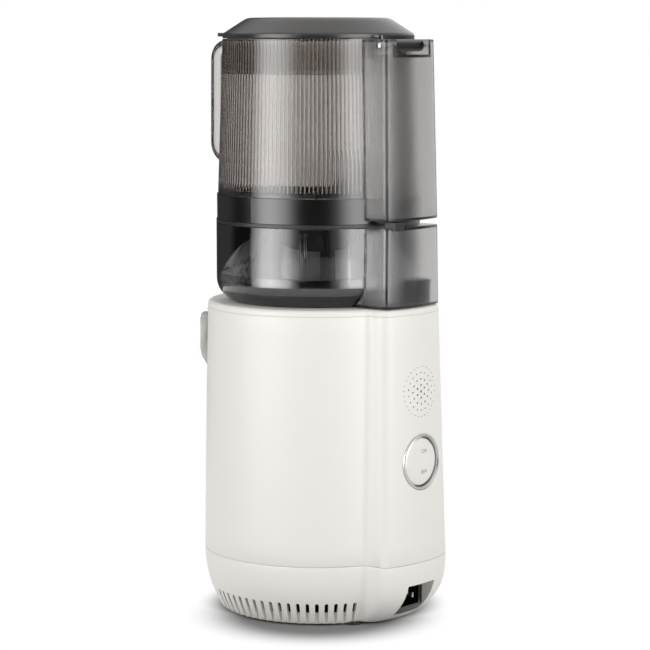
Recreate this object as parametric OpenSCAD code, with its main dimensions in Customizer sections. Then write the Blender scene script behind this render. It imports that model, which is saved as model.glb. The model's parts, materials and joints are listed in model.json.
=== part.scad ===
// Cold press juicer with a self-feeding hopper, millimetres, +Z up.
// The front (juice spout, tap lever, handle) faces -Y, the service pod faces +Y.

/* [Base and body] */
// Height of the rubber feet under the base
foot_h = 2.5; // [2:0.1:5]
// Height of the lower base shell
base_h = 46.4; // [40:0.2:56]
// Radius of the body where the base and the body meet
body_r_seam = 90; // [86:0.5:96]
// How much the body's radius narrows up to its top edge
body_taper = 3.65; // [2:0.05:6]
// Bulge of the body wall beyond a straight taper
body_bulge = 0.3; // [0:0.05:1]
// How far the round base tucks in at its foot
base_tuck = 12.2; // [8:0.2:16]
// Height of the body shell above the base
body_h = 189.1; // [180:0.1:200]
// Visible gap between the base and the body
seam_gap = 0.5; // [0.3:0.1:1]
// Wall of the base, body and top cover
wall = 2.6; // [2.2:0.1:3.2]
// Thickness of the top cover at its edge, with its gap
deck_h = 5.2; // [5:0.1:7]
// Rounding of the top cover's edge
deck_edge = 3.4; // [2:0.1:4]
// Depth of the round seat in the top cover for the drum
deck_recess = 1.2; // [0.8:0.1:1.6]

/* [Service pod] */
// Radius of the pod's back face at the seam
pod_r_seam = 106; // [102:0.5:108]
// How much the radius of the pod's back narrows up to the body's top
pod_taper = 5.7; // [4.5:0.1:6.5]
// Half width of the pod at the seam
pod_w_seam = 39.5; // [38:0.1:42]
// Half width of the pod at the body's top
pod_w_top = 35; // [34:0.1:37]
// How far the pod's back tucks in at its foot
pod_tuck = 22; // [18:0.5:24]
// How far each side of the pod tucks in at its foot
pod_side_tuck = 8; // [5:0.5:9]

/* [Vents] */
// Number of air slots on each side of the base
slot_count = 18; // [10:1:18]
// Angle between air slots
slot_pitch = 5; // [4.6:0.1:5]
// Angle of the slot nearest the pod, from +X
slot_start = 61; // [58:1:61]
// Width of an air slot
slot_w = 2.2; // [1.6:0.1:2.6]
// Height of the top of the air slots
slot_top = 18; // [14:0.5:20]

/* [Rear controls] */
// Height of the rocker switch's centre
switch_z = 125.3; // [115:0.5:135]
// Outer radius of the switch's bezel
bezel_r = 21.5; // [18:0.5:22]
// Width of the bezel's ring
bezel_w = 2.4; // [2:0.1:3]
// Height of the centre of the dotted vent
dots_z = 179.4; // [172:0.5:185]
// Distance between the rings of dots
dots_pitch = 4.76; // [4:0.02:4.8]
// Radius of the middle dot
dot_r = 0.8; // [0.6:0.05:1]
// Half width of the power inlet's recess
inlet_w = 16; // [15.6:0.1:17]
// Height of the top of the inlet's recess
inlet_top = 31; // [30.4:0.1:33]
// Depth of the socket's panel below the pod's back
inlet_deep = 14.5; // [13:0.5:16]

/* [Drum] */
// Outer radius of the juicing drum
drum_r = 79.4; // [78:0.1:79.6]
// Height of the drum's bowl
drum_h = 61.6; // [60:0.2:66]
// Wall of the drum's bowl
drum_wall = 2.6; // [2.2:0.1:3]
// Rounding under the drum
drum_round = 18.4; // [16:0.2:20]
// Height of the black ring on the drum's rim
rim_h = 2.6; // [2:0.1:4]
// Radius of the back of the drum's rear cover at its foot
box_r_low = 98.6; // [97:0.1:99]
// Radius of the back of the hopper's rear cover at its foot
box_r_mid = 97.8; // [96.5:0.1:98]
// Radius of the back of the hopper's rear cover at its top
box_r_high = 94.4; // [94:0.1:96]
// Half width of the rear covers at the drum's foot
box_w_low = 31.8; // [31:0.1:33]
// Half width of the rear covers at the hopper's top
box_w_high = 28.6; // [28:0.1:30]
// Wall of the rear covers
box_wall = 2.2; // [1.8:0.1:2.4]

/* [Hopper and lid] */
// Height of the black ring under the hopper
ring_h = 19; // [17:0.5:24]
// Radius of the black ring under the hopper
ring_r = 78.9; // [78.4:0.1:79.4]
// Radius of the feed throat in the hopper's floor
throat_r = 53; // [52.5:0.1:54]
// Height of the clear hopper tub
tub_h = 119; // [112:1:126]
// Outer radius of the tub at its foot
tub_r_low = 78; // [77.6:0.1:78.4]
// Outer radius of the tub at its rim
tub_r_high = 74.1; // [73.9:0.1:75]
// Wall of the tub
tub_wall = 2.4; // [2:0.1:2.6]
// Height of the lid above the tub
lid_h = 15.7; // [13.5:0.1:18]
// Radius of the lid's flat top
lid_top_r = 53.7; // [48:0.1:56]
// Wall of the lid
lid_wall = 2.4; // [2:0.1:2.8]
// Half width of the lid's front tab
tab_w = 20; // [14:0.5:22]
// Reach of the lid's front tab from the axis
tab_reach = 89; // [84:0.5:92]
// Distance of the lid's hinge behind the axis
hinge_y = 83.4; // [83:0.1:84]
// Height of the lid's hinge below the tub's rim
hinge_drop = 5; // [4.8:0.1:5.2]
// Radius of the lid's hinge pin
hinge_pin_r = 2; // [1.5:0.1:2.2]
// Width of the hopper's handle
handle_w = 20; // [16:1:24]
// Thickness of the handle's strap
handle_t = 3; // [2.4:0.1:3.6]
// Reach of the handle from the axis
handle_reach = 104; // [101:0.5:105]

/* [Tap] */
// Width of the tap lever
lever_w = 48; // [44:1:50]
// Thickness of the tap lever's strap
lever_t = 1.6; // [1.2:0.1:2]
// Height of the tap lever's front face
lever_z = 210; // [208:0.5:212]
// Outer radius of the spout's mouth
mouth_r = 13.5; // [12.5:0.1:13.5]
// Inner radius of the spout's mouth
mouth_bore_r = 10.5; // [8:0.1:11]
// Radius of the tap's pivot pin
tap_pin_r = 1.5; // [1.2:0.1:1.6]

/* [Drive] */
// Module of the gear teeth
gear_m = 0.9; // [0.86:0.01:0.92]
// Teeth of the two pinions
pinion_teeth = 12; // [12:1:13]
// Teeth of the two large gears
gear_teeth = 60; // [54:1:60]
// Face width of the first stage
face_1 = 12; // [8:0.5:12]
// Face width of the second stage
face_2 = 13; // [10:0.5:14]
// Radius of the output shaft
shaft_r = 7; // [6.5:0.1:8]
// Height of the drive hexagon above the deck
drive_h = 25; // [20:1:28]
// Outer radius of the motor
motor_r = 44; // [40:0.5:48]
// Height of the motor
motor_h = 104; // [96:1:106]
// Radius of the cooling fan
fan_r = 38; // [30:1:42]

/* [Juicing parts] */
// Inner radius of the strainer
strainer_r = 48.2; // [47.5:0.1:49]
// Outer radius of the auger's flights
auger_r = 46.8; // [44:0.1:46.8]
// Radius of the auger's core at its foot
core_r_low = 27; // [25:0.5:29]
// Radius of the auger's core at its top
core_r_high = 36; // [32:0.5:38]
// Height of the cutting wing above the auger
wing_h = 50; // [30:1:54]
// Radius of the cutting wing
wing_r = 49; // [40:0.5:50]

/* [Hidden] */

$fn = 96;
eps = 0.01;
fit = 0.2;
run_fit = 0.05;
soft_gap = 0.3;
round_fn = 48;

// Colours
warm_white = [0.93, 0.92, 0.9];
ink = [0.09, 0.09, 0.1];
smoke = [0.35, 0.34, 0.34, 0.55];
frost = [0.45, 0.44, 0.43, 0.6];
steel = [0.72, 0.73, 0.75];
bright = [0.86, 0.87, 0.88];
copper = [0.72, 0.42, 0.22];
rubber_grey = [0.16, 0.16, 0.17];
board_green = [0.1, 0.35, 0.2];
gear_ivory = [0.85, 0.82, 0.72];
milky = [0.8, 0.8, 0.78];

// Levels, from the floor up
base_z = foot_h;
seam_z = base_z + base_h;
body_z = seam_z + seam_gap;
body_top = seam_z + body_h;
deck_z = body_top + deck_h;
drum_z = deck_z - deck_recess + soft_gap;
drum_top = drum_z + drum_h;
rim_z = drum_top + fit / 2;
rim_top = rim_z + rim_h;
ring_z = rim_top + soft_gap;
ring_top = ring_z + ring_h;
tub_z = ring_top + fit / 2;
tub_top = tub_z + tub_h;
lid_z = tub_top + soft_gap;
lid_top = lid_z + lid_h;
box_top = tub_top - 0.5;
box_z = ring_z + 2.4;
base_tuck_power = 2.35;
pod_tuck_power = 2.8;
side_tuck_power = 3;
body_r_top = body_r_seam - body_taper;
pod_r_top = pod_r_seam - pod_taper;
inlet_panel_y = pod_r_seam - inlet_deep;
reach = body_r_seam + 16;

function mix(a, b, t) = a + (b - a) * t;
function base_t(z) = max(0, seam_z - z) / base_h;
function body_t(z) = (z - seam_z) / body_h;
function round_out(z) = z < seam_z
    ? body_r_seam - base_tuck * pow(base_t(z), base_tuck_power)
    : mix(body_r_seam, body_r_top, body_t(z)) + 4 * body_bulge * body_t(z) * (1 - body_t(z));
function pod_out(z) = z < seam_z
    ? pod_r_seam - pod_tuck * pow(base_t(z), pod_tuck_power)
    : mix(pod_r_seam, pod_r_top, body_t(z));
function pod_side(z) = z < seam_z
    ? pod_w_seam - pod_side_tuck * pow(base_t(z), side_tuck_power)
    : mix(pod_w_seam, pod_w_top, body_t(z));
function steps(z0, z1, n) = [for (i = [0 : n]) mix(z0, z1, i / n)];
// extra inset that rounds the top edge of a form ending at z1
function edge_in(z, z1, edge) = z <= z1 - edge ? 0
    : edge - sqrt(max(0, pow(edge, 2) - pow(z - z1 + edge, 2)));
function tub_out(z) = mix(tub_r_low, tub_r_high, (z - tub_z) / tub_h);
function box_t(z) = (z - drum_z) / (tub_top - drum_z);
function box_side(z) = mix(box_w_low, box_w_high, box_t(z));
function box_back(z) = z < box_z ? mix(box_r_low, box_r_mid, (z - drum_z) / (box_z - drum_z))
    : mix(box_r_mid, box_r_high, (z - box_z) / (tub_top - box_z));
// points of an arc about c, from angle a0 to a1
function arc(c, r, a0, a1, n) = [for (i = [0 : n])
    c + r * [cos(mix(a0, a1, i / n)), sin(mix(a0, a1, i / n))]];
function reversed(p) = [for (i = [len(p) - 1 : -1 : 0]) p[i]];

// solid of revolution from [r, z] points, closed down to the axis
module spin(points) rotate_extrude()
    polygon(concat([[0, points[0][1]]], points, [[0, points[len(points) - 1][1]]]));
// profile in the YZ plane, extruded to a width centred on x = 0
module side_extrude(w) translate([-w / 2, 0, 0]) rotate([90, 0, 90]) linear_extrude(w) children();
// profile of [half width, z] points, extruded from the axis towards +Y
module back_slab(sides, depth) rotate([90, 0, 180]) linear_extrude(depth)
    polygon(concat(sides, reversed([for (p = sides) [-p[0], p[1]]])));
// bar along Y from y0 to y1
module rod_y(r, y0, y1, x, z) translate([x, y1, z]) rotate([90, 0, 0]) cylinder(r = r, h = y1 - y0);
// bar along X, centred on x = 0
module rod_x(r, w, y, z) translate([-w / 2, y, z]) rotate([0, 90, 0]) cylinder(r = r, h = w);
module ring(ri, ro, z0, z1) difference() {
    translate([0, 0, z0]) cylinder(r = ro, h = z1 - z0);
    translate([0, 0, z0 - 1]) cylinder(r = ri, h = z1 - z0 + 2);
}

// outer form of the base and body between two heights, set in by inset
module body_form(z0, z1, inset = 0, edge = 0, n = 8) {
    zs = edge > 0 ? concat([z0], steps(z1 - edge, z1, n)) : steps(z0, z1, n);
    spin([for (z = zs) [round_out(z) - inset - edge_in(z, z1, edge), z]]);
    intersection() {
        spin([for (z = zs) [pod_out(z) - inset - edge_in(z, z1, edge), z]]);
        back_slab([for (z = zs) [pod_side(z) - inset - edge_in(z, z1, edge), z]], pod_r_seam + 5);
    }
}
module body_wall(z0, z1, from, to, n = 8) difference() {
    body_form(z0, z1, from, 0, n);
    body_form(z0 - 1, z1 + 1, to, 0, n);
}

// ---- base ----
plate_t = 2.5;
plate_z = base_z + plate_t;
tongue_t = 1.6;
tongue_h = 5;
boss_r = 4.5;
plate_boss_r = 6;
boss_turns = [-50, 25, 155, 230];
boss_ring = body_r_seam - 22;
boss_places = [for (a = boss_turns) boss_ring * [cos(a), sin(a)]];
boss_z = 9;
boss_top = 62;
foot_places = [[54, -32], [-54, -32], [34, 62], [-34, 62]];
foot_r = 9;
screw_r = 1.5;
screw_head_r = 3;
screw_l = 24;
screw_hole_r = screw_r + run_fit;

slot_break = slot_top - 6.4;
groove_z = base_z + 2;
// an air slot goes through the wall above slot_break and runs out as a groove below it
module slot_cut() for (side = [-1, 1]) for (i = [0 : slot_count - 1])
    rotate([0, 0, side > 0 ? slot_start - i * slot_pitch : 180 - slot_start + i * slot_pitch]) {
        translate([60, -slot_w / 2, slot_break]) cube([40, slot_w, slot_top - slot_w / 2 - slot_break]);
        translate([60, 0, slot_top - slot_w / 2]) rotate([0, 90, 0])
            cylinder(r = slot_w / 2, h = 40, $fn = 24);
        translate([0, slot_w / 2, 0]) rotate([90, 0, 0]) linear_extrude(slot_w) polygon([
            [round_out(groove_z) - 0.3, groove_z], [100, groove_z], [100, slot_break + eps],
            [round_out(slot_break) - 2, slot_break + eps]]);
    }
inlet_z = base_z + 3.4;
module inlet_box(grow, y0, y1) translate([-inlet_w - grow, y0, inlet_z - grow])
    cube([2 * (inlet_w + grow), y1 - y0, inlet_top - inlet_z + 2 * grow]);

module base_shell() color(warm_white) difference() {
    union() {
        body_wall(base_z, seam_z, 0, wall, 12);
        difference() {
            body_form(plate_z + 0.1, plate_z + 2, wall - 0.5, 0, 2);
            translate([0, 0, plate_z - 1]) cylinder(r = 70, h = 4);
            for (p = boss_places) translate([p[0], p[1], plate_z - 1]) cylinder(r = plate_boss_r + fit, h = 4);
            inlet_box(-1, 40, 120);
        }
        intersection() {
            inlet_box(1.8, inlet_panel_y - 6, 120);
            body_form(base_z, seam_z, 0.3, 0, 12);
        }
    }
    slot_cut();
    inlet_box(0, 40, 120);
}
module bottom_plate() color(rubber_grey) difference() {
    union() {
        body_form(base_z, plate_z, wall + fit, 0, 2);
        for (p = boss_places) translate([p[0], p[1], base_z])
            cylinder(r = plate_boss_r, h = boss_z - base_z - fit);
    }
    inlet_box(0.6, 70, 120);
    for (p = boss_places) translate([p[0], p[1], base_z - 1]) {
        cylinder(r = screw_hole_r + 0.2, h = 20, $fn = round_fn);
        cylinder(r = screw_head_r + 0.4, h = 4, $fn = round_fn);
    }
    for (a = [0 : 20 : 340]) rotate([0, 0, a]) translate([16, -1.5, base_z - 1]) cube([20, 3, 5]);
}
module rubber_feet() color(ink) for (p = foot_places) translate([p[0], p[1], 0])
    cylinder(r = foot_r, h = foot_h);
module bottom_screws() color(steel) for (p = boss_places) translate([p[0], p[1], 0]) {
    translate([0, 0, base_z + 0.6]) cylinder(r = screw_head_r, h = 2.4, $fn = round_fn);
    translate([0, 0, base_z + 1]) cylinder(r = screw_r, h = screw_l, $fn = round_fn);
}

// ---- body ----
notch_w = 2 * (mouth_r + 7);
mouth_z = lever_z - 4;
notch_z = mouth_z - mouth_r - 6.5;
spout_in = drum_r - drum_round - 3;
notch_y = spout_in - 4;
liner_t = 2;
module notch(grow = 0) translate([-notch_w / 2 - grow, -120, notch_z - grow])
    cube([notch_w + 2 * grow, 120 - notch_y + grow, 120]);
module dots_cut() for (k = [0 : 4]) {
    n = k == 0 ? 1 : k == 4 ? 30 : 6 * k;
    for (i = [0 : n - 1])
        rod_y(dot_r * (1 - 0.125 * k), pod_out(dots_z) - 14, pod_out(dots_z) + 5,
            k * dots_pitch * cos(i * 360 / n), dots_z + k * dots_pitch * sin(i * 360 / n), $fn = 16);
}
module body_shell() color(warm_white) difference() {
    union() {
        body_wall(body_z, body_top, 0, wall);
        body_wall(body_z + 0.6, body_z + 3, wall - 0.5, wall + fit + tongue_t / 2, 1);
        body_wall(seam_z - tongue_h, body_z + 4, wall + fit, wall + fit + tongue_t, 4);
        intersection() {
            difference() {
                notch(liner_t);
                notch();
            }
            body_form(notch_z - 5, body_top, wall / 2);
        }
        for (p = boss_places) translate([p[0], p[1], boss_z]) cylinder(r = boss_r, h = boss_top - boss_z);
        intersection() {
            for (a = boss_turns) rotate([0, 0, a]) translate([boss_ring, -1.5, body_z + 1])
                cube([25, 3, boss_top - body_z - 1]);
            body_form(body_z, boss_top, wall / 2, 0, 2);
        }
    }
    notch();
    for (p = boss_places) translate([p[0], p[1], boss_z - 1])
        cylinder(r = screw_hole_r, h = screw_l, $fn = round_fn);
    rod_y(bezel_r + fit, 60, 120, 0, switch_z);
    dots_cut();
}

// ---- top cover and what hangs from it ----
cover_z = body_top + soft_gap;
deck_in = deck_z - 3.6;
seat_drop = deck_recess - soft_gap;
seat_r = drum_r - drum_round + sqrt(seat_drop * (2 * drum_round - seat_drop)) + 0.5;
motor_z = base_z + 33.5;
motor_top = motor_z + motor_h;
gearbox_floor = 4;
gear_z = motor_top + gearbox_floor + 3;
pinion_top = gear_z + face_1 + 1.5;
output_z = pinion_top + 2.5;
output_top = output_z + face_2;
cover_under = output_top + 5;
cover_t = 5;
cover_top = cover_under + cover_t;
gear_axes = gear_m * (pinion_teeth + gear_teeth) / 2;
gear_tip = gear_m * gear_teeth / 2 + 0.7 * gear_m;
case_in = gear_tip + 2;
case_out = case_in + 7.4;
lug_reach = case_out + 6.5;
lug_places = [for (c = [0, 1], s = [-1, 1])
    [c * gear_axes + (2 * c - 1) * lug_reach * cos(45), s * lug_reach * sin(45)]];
post_r = 5;
post_screw_r = 2;
bush_r = shaft_r + 4;
bush_z = deck_z - 16;
module top_cover() color(warm_white) difference() {
    union() {
        body_form(cover_z, deck_z, 0, deck_edge, 6);
        body_form(body_top - 4, cover_z + eps, wall + fit, 0, 2);
        translate([0, 0, bush_z]) cylinder(r = bush_r + 3, h = deck_z - bush_z - 1);
        for (p = lug_places) translate([p[0], p[1], cover_top + fit])
            cylinder(r = post_r, h = deck_z - cover_top - 1 - fit);
    }
    difference() {
        body_form(body_top - 5, deck_in, wall + fit + 2, 0, 2);
        translate([0, 0, bush_z]) cylinder(r = bush_r + 3, h = 30);
        for (p = lug_places) translate([p[0], p[1], 0]) cylinder(r = post_r, h = deck_z);
    }
    translate([0, 0, deck_z - deck_recess]) cylinder(r = seat_r, h = 5);
    translate([0, 0, bush_z - 1]) cylinder(r = bush_r, h = 40);
    for (p = lug_places) translate([p[0], p[1], cover_top - 1])
        cylinder(r = post_screw_r + run_fit, h = 18, $fn = round_fn);
    notch();
    intersection() {
        notch(liner_t + fit);
        translate([-100, -100, 0]) cube([200, 200, cover_z - eps]);
    }
}
module deck_seal() color(ink) {
    ring(shaft_r + 0.4, bush_r - 0.1, deck_z - 3, deck_z - deck_recess);
    ring(shaft_r + 0.4, shaft_r + 1.8, deck_z - 3.5, deck_z);
}
module deck_bush() color(bright) ring(shaft_r + run_fit, bush_r - run_fit, bush_z, deck_z - 3.6);

// ---- rear controls ----
face_y = pod_out(switch_z);
bezel_in = bezel_r - bezel_w;
rocker_r = bezel_in - 0.7;
rocker_y = face_y - 6;
rocker_pin_r = 1.5;
housing_y = rocker_y - 12;
pivot_in = 2.6;
module switch_bezel() color(bright) translate([0, face_y - 7, switch_z]) rotate([-90, 0, 0])
    rotate_extrude() polygon([[bezel_in, 0], [bezel_r, 0], [bezel_r, 7], [bezel_r - 0.7, 7.9],
        [bezel_r - 1.4, 8.1], [bezel_in + 0.3, 7.4], [bezel_in, 6.6]]);
module switch_rocker() color(warm_white) difference() {
    union() {
        translate([0, rocker_y, switch_z]) rotate([-90, 0, 0]) rotate_extrude()
            polygon([[0, 0], [rocker_r - 1.5, 0], [rocker_r, 1], [rocker_r, 3.2],
                [rocker_r - 0.8, 4.4], [rocker_r * 0.7, 5.4], [0, 6]]);
        for (x = [-9, 6]) translate([x, rocker_y - 5, switch_z - 2.6]) cube([3, 6, 5.2]);
    }
    rod_x(rocker_pin_r + run_fit, 40, rocker_y - pivot_in, switch_z, $fn = round_fn);
}
module rocker_pin() color(steel) rod_x(rocker_pin_r, 27, rocker_y - pivot_in, switch_z, $fn = round_fn);
module switch_housing() color(ink) difference() {
    union() {
        translate([-15, housing_y, switch_z - 13]) cube([30, 5, 26]);
        for (x = [-13.2, 10.2]) translate([x, housing_y + 4, switch_z - 3.4])
            cube([3, rocker_y - 0.6 - housing_y - 4, 6.8]);
        for (x = [-9, -1.5, 6]) translate([x, housing_y - 3.2, switch_z - 1]) cube([3, 4, 5]);
    }
    rod_x(rocker_pin_r + run_fit / 2, 40, rocker_y - pivot_in, switch_z, $fn = round_fn);
}
board_t = 1.6;
board_y = housing_y - 3.4 - board_t;
board_w = 58;
board_z = 66;
board_h = 150;
module control_board() color(board_green) {
    difference() {
        translate([-board_w / 2, board_y, board_z]) cube([board_w, board_t, board_h]);
        for (x = [-1, 1], z = [6, board_h - 6])
            rod_y(1.7, board_y - 1, board_y + 5, x * (board_w / 2 - 5), board_z + z, $fn = 24);
    }
    for (x = [-14, 0, 14]) rod_y(5, board_y - 14, board_y + eps, x, board_z + 22, $fn = 32);
    translate([-20, board_y - 9, board_z + 40]) cube([16, 9 + eps, 18]);
    translate([6, board_y - 6, board_z + 42]) cube([14, 6 + eps, 10]);
    rod_y(8, board_y - 7, board_y + eps, 12, board_z + 128, $fn = 32);
}
screen_t = 0.8;
module vent_screen() color(ink) intersection() {
    difference() {
        spin([for (z = [dots_z - 30, dots_z + 30]) [pod_out(z) - wall - fit, z]]);
        spin([for (z = [dots_z - 31, dots_z + 31]) [pod_out(z) - wall - fit - screen_t, z]]);
    }
    rod_y(5.1 * dots_pitch, 50, 120, 0, dots_z);
}
socket_y = inlet_panel_y - 22;
pin_tip_y = inlet_panel_y - 2;
pin_places = [[0, 4], [-7, 0], [7, 0]];
socket_mid = (inlet_z + inlet_top) / 2;
module inlet_socket() color(ink) difference() {
    intersection() {
        inlet_box(-fit, socket_y, inlet_panel_y);
        body_form(base_z, seam_z, 0.8, 0, 12);
    }
    difference() {
        translate([-11.5, inlet_panel_y - 16, socket_mid - 6.5]) cube([23, 30, 17]);
        for (x = [-1, 1]) translate([x * 11.5, 0, socket_mid + 10.5]) rotate([0, 45, 0])
            translate([-2.6, inlet_panel_y - 16, -2.6]) cube([5.2, 16, 5.2]);
    }
    for (p = pin_places) translate([p[0] - 1, socket_y - 1, socket_mid + p[1] - 2]) cube([2, 10, 4]);
}
module inlet_pins() color(bright) for (p = pin_places)
    translate([p[0] - 0.95, socket_y - 4 + fit, socket_mid + p[1] - 1.95])
        cube([1.9, pin_tip_y - socket_y + 4 - fit, 3.9]);
lead_r = 1.1;
crimp = 3;
// lead from a socket pin at height z0, back to y0, up to z1 and across to the board
module lead(x, y0, z0, z1) {
    rod_y(lead_r, y0, socket_y - 4, x, z0, $fn = 16);
    translate([x, y0, z0]) cylinder(r = lead_r, h = z1 - z0, $fn = 16);
    rod_y(lead_r, y0, board_y - fit, x, z1, $fn = 16);
    for (z = [z0, z1]) translate([x, y0, z]) cube(crimp, center = true);
}
module inner_leads() color(copper) for (p = pin_places)
    lead(p[0], socket_y - 12, socket_mid + p[1], board_z + 8 + p[1]);

// ---- motor ----
can_t = 2;
bearing_r = 11;
motor_shaft_r = 4;
bearing_h = 7;
core_z = motor_z + 22;
core_top = motor_top - 22;
core_out = motor_r - can_t - run_fit;
bore_r = 24;
module motor_can() color(steel) difference() {
    translate([0, 0, motor_z]) cylinder(r = motor_r, h = motor_h);
    translate([0, 0, motor_z + 3]) cylinder(r = motor_r - can_t, h = motor_h - 6);
    translate([0, 0, motor_z - 1]) cylinder(r = bearing_r + run_fit, h = motor_h + 2, $fn = 64);
    for (a = [0 : 30 : 330], z = [motor_z + 11, motor_top - 15]) rotate([0, 0, a])
        translate([motor_r - 6, -4, z - 4]) cube([12, 8, 8]);
    for (a = [45 : 90 : 315]) rotate([0, 0, a]) translate([motor_r - 9, 0, motor_top - 4])
        cylinder(r = post_screw_r + run_fit, h = 6, $fn = 24);
}
module stator_core() color(steel) difference() {
    ring(bore_r, core_out, core_z, core_top);
    for (a = [0 : 30 : 330]) rotate([0, 0, a]) translate([0, 0, core_z - 1]) {
        translate([bore_r - 1, -1.2, 0]) cube([3, 2.4, core_top - core_z + 2]);
        translate([bore_r + 6, 0, 0]) cylinder(r = 4.2, h = core_top - core_z + 2, $fn = 24);
    }
}
module stator_windings() color(copper) {
    ring(bore_r + 1.5, core_out - 4, core_z - 9, core_z - fit / 2);
    ring(bore_r + 1.5, core_out - 4, core_top + fit / 2, core_top + 9);
    for (a = [0 : 30 : 330]) rotate([0, 0, a]) translate([bore_r + 6, 0, core_z - 5])
        cylinder(r = 4, h = core_top - core_z + 10, $fn = 24);
}
module rotor_core() color(steel) ring(motor_shaft_r + run_fit, bore_r - 0.6, core_z, core_top);
module motor_shaft() color(bright) {
    translate([0, 0, fan_z - 3]) cylinder(r = motor_shaft_r, h = gear_z - fan_z + 3 - 2, $fn = round_fn);
    translate([0, 0, gear_z]) gear(pinion_teeth, pinion_top - gear_z, pinion_add, pinion_ded, 0, 0);
    translate([0, 0, gear_z - 2 - eps]) cylinder(r = motor_shaft_r, h = 2 + 2 * eps, $fn = round_fn);
}
module motor_bearings() color(bright) for (z = [motor_z, motor_top - bearing_h])
    ring(motor_shaft_r + run_fit, bearing_r, z, z + bearing_h);
fan_z = motor_z - 16;
fan_h = 12;
module cooling_fan() color(ink) {
    ring(motor_shaft_r + run_fit, 9, fan_z, fan_z + fan_h);
    ring(8.5, fan_r, fan_z, fan_z + 1.6);
    for (a = [0 : 36 : 324]) rotate([0, 0, a]) translate([8, -0.8, fan_z + 1]) cube([fan_r - 10, 1.6, fan_h - 1]);
}
module motor_screws() color(steel) for (a = [45 : 90 : 315]) rotate([0, 0, a])
    translate([motor_r - 9, 0, motor_top]) {
        translate([0, 0, gearbox_floor]) cylinder(r = 3.6, h = 2, $fn = 24);
        translate([0, 0, -3.8]) cylinder(r = post_screw_r, h = gearbox_floor + 4, $fn = 24);
    }

// ---- gears ----
pressure = 20;
backlash = 0.15;
function inv(a) = tan(a) * 180 / PI - a;
function flank(r, rb) = r <= rb ? 0 : inv(acos(rb / r));
function tooth_half(z, rp, r, rb) = 90 / z - backlash / (2 * rp) * 180 / PI + inv(pressure) - flank(r, rb);
// spur gear with true involute flanks; add and ded are in modules
module gear(z, h, add, ded, bore, turn) {
    rp = gear_m * z / 2;
    rb = rp * cos(pressure);
    ra = rp + add * gear_m;
    rf = rp - ded * gear_m;
    r0 = max(rb, rf);
    rs = concat(rf < rb ? [rf] : [], steps(r0, ra, 4));
    rotate([0, 0, turn]) linear_extrude(h) difference() {
        polygon([for (k = [0 : z - 1]) each concat(
            [for (r = rs) r * [cos(k * 360 / z - tooth_half(z, rp, r, rb)),
                sin(k * 360 / z - tooth_half(z, rp, r, rb))]],
            [for (r = reversed(rs)) r * [cos(k * 360 / z + tooth_half(z, rp, r, rb)),
                sin(k * 360 / z + tooth_half(z, rp, r, rb))]])]);
        if (bore > 0) circle(r = bore, $fn = round_fn);
    }
}
pinion_add = 0.95;
pinion_ded = 0.95;
gear_add = 0.7;
gear_ded = 1.2;
axle_r = 4;
module case_plan(r) {
    circle(r = r);
    translate([gear_axes, 0]) circle(r = r);
    translate([0, -r]) square([gear_axes, 2 * r]);
}
screw_ring = (case_in + case_out) / 2;
case_screws = [[gear_axes / 2, screw_ring], [gear_axes / 2, -screw_ring], [-screw_ring, 0],
    [gear_axes + screw_ring, 0]];
module gearbox_housing() color(steel) difference() {
    translate([0, 0, motor_top]) linear_extrude(cover_under - motor_top) case_plan(case_out);
    translate([0, 0, motor_top + gearbox_floor]) linear_extrude(200) case_plan(case_in);
    translate([0, 0, motor_top - 1]) cylinder(r = bearing_r + 1, h = 20, $fn = 64);
    translate([gear_axes, 0, motor_top + 1]) cylinder(r = axle_r, h = 20, $fn = round_fn);
    for (a = [45 : 90 : 315]) rotate([0, 0, a]) translate([motor_r - 9, 0, motor_top - 1]) {
        cylinder(r = post_screw_r + run_fit, h = 10, $fn = 24);
        translate([0, 0, gearbox_floor + 1]) cylinder(r = 4, h = 6, $fn = 24);
    }
    for (p = case_screws) translate([p[0], p[1], cover_under - 14])
        cylinder(r = screw_hole_r, h = 20, $fn = 24);
}
module gearbox_cover() color(steel) difference() {
    union() {
        translate([0, 0, cover_under]) linear_extrude(cover_t) case_plan(case_out);
        for (c = [0, 1], s = [-1, 1]) translate([c * gear_axes, 0, cover_under])
            rotate([0, 0, c == 1 ? s * 45 : 180 + s * 45]) {
                translate([case_out - 10, -6.5, 0]) cube([lug_reach - case_out + 10, 13, cover_t]);
                translate([lug_reach, 0, 0]) cylinder(r = 6.5, h = cover_t, $fn = round_fn);
            }
        translate([0, 0, cover_under]) cylinder(r = 19, h = cover_t + 5);
    }
    translate([0, 0, cover_under - 1]) cylinder(r = shaft_r + 1, h = 20, $fn = round_fn);
    translate([0, 0, cover_under + 2]) cylinder(r = 15, h = 20);
    translate([gear_axes, 0, cover_under - 1]) cylinder(r = axle_r, h = 4, $fn = round_fn);
    for (p = case_screws) translate([p[0], p[1], cover_under - 1])
        cylinder(r = screw_hole_r, h = 20, $fn = 24);
    for (p = lug_places) translate([p[0], p[1], cover_under - 1])
        cylinder(r = post_screw_r + run_fit, h = 20, $fn = 24);
}
module cover_screws() color(bright) for (p = case_screws) translate([p[0], p[1], cover_top]) {
    cylinder(r = screw_head_r, h = 2.2, $fn = 24);
    translate([0, 0, -16]) cylinder(r = screw_r, h = 17, $fn = 24);
}
module deck_screws() color(bright) for (p = lug_places) translate([p[0], p[1], cover_under]) {
    translate([0, 0, -2.6]) cylinder(r = 3.8, h = 2.6, $fn = 24);
    translate([0, 0, -1]) cylinder(r = post_screw_r, h = cover_t + 16, $fn = 24);
}
module idler_axle() color(bright) translate([gear_axes, 0, motor_top + 1])
    cylinder(r = axle_r - run_fit, h = cover_under + 3 - motor_top - 1, $fn = round_fn);
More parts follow.
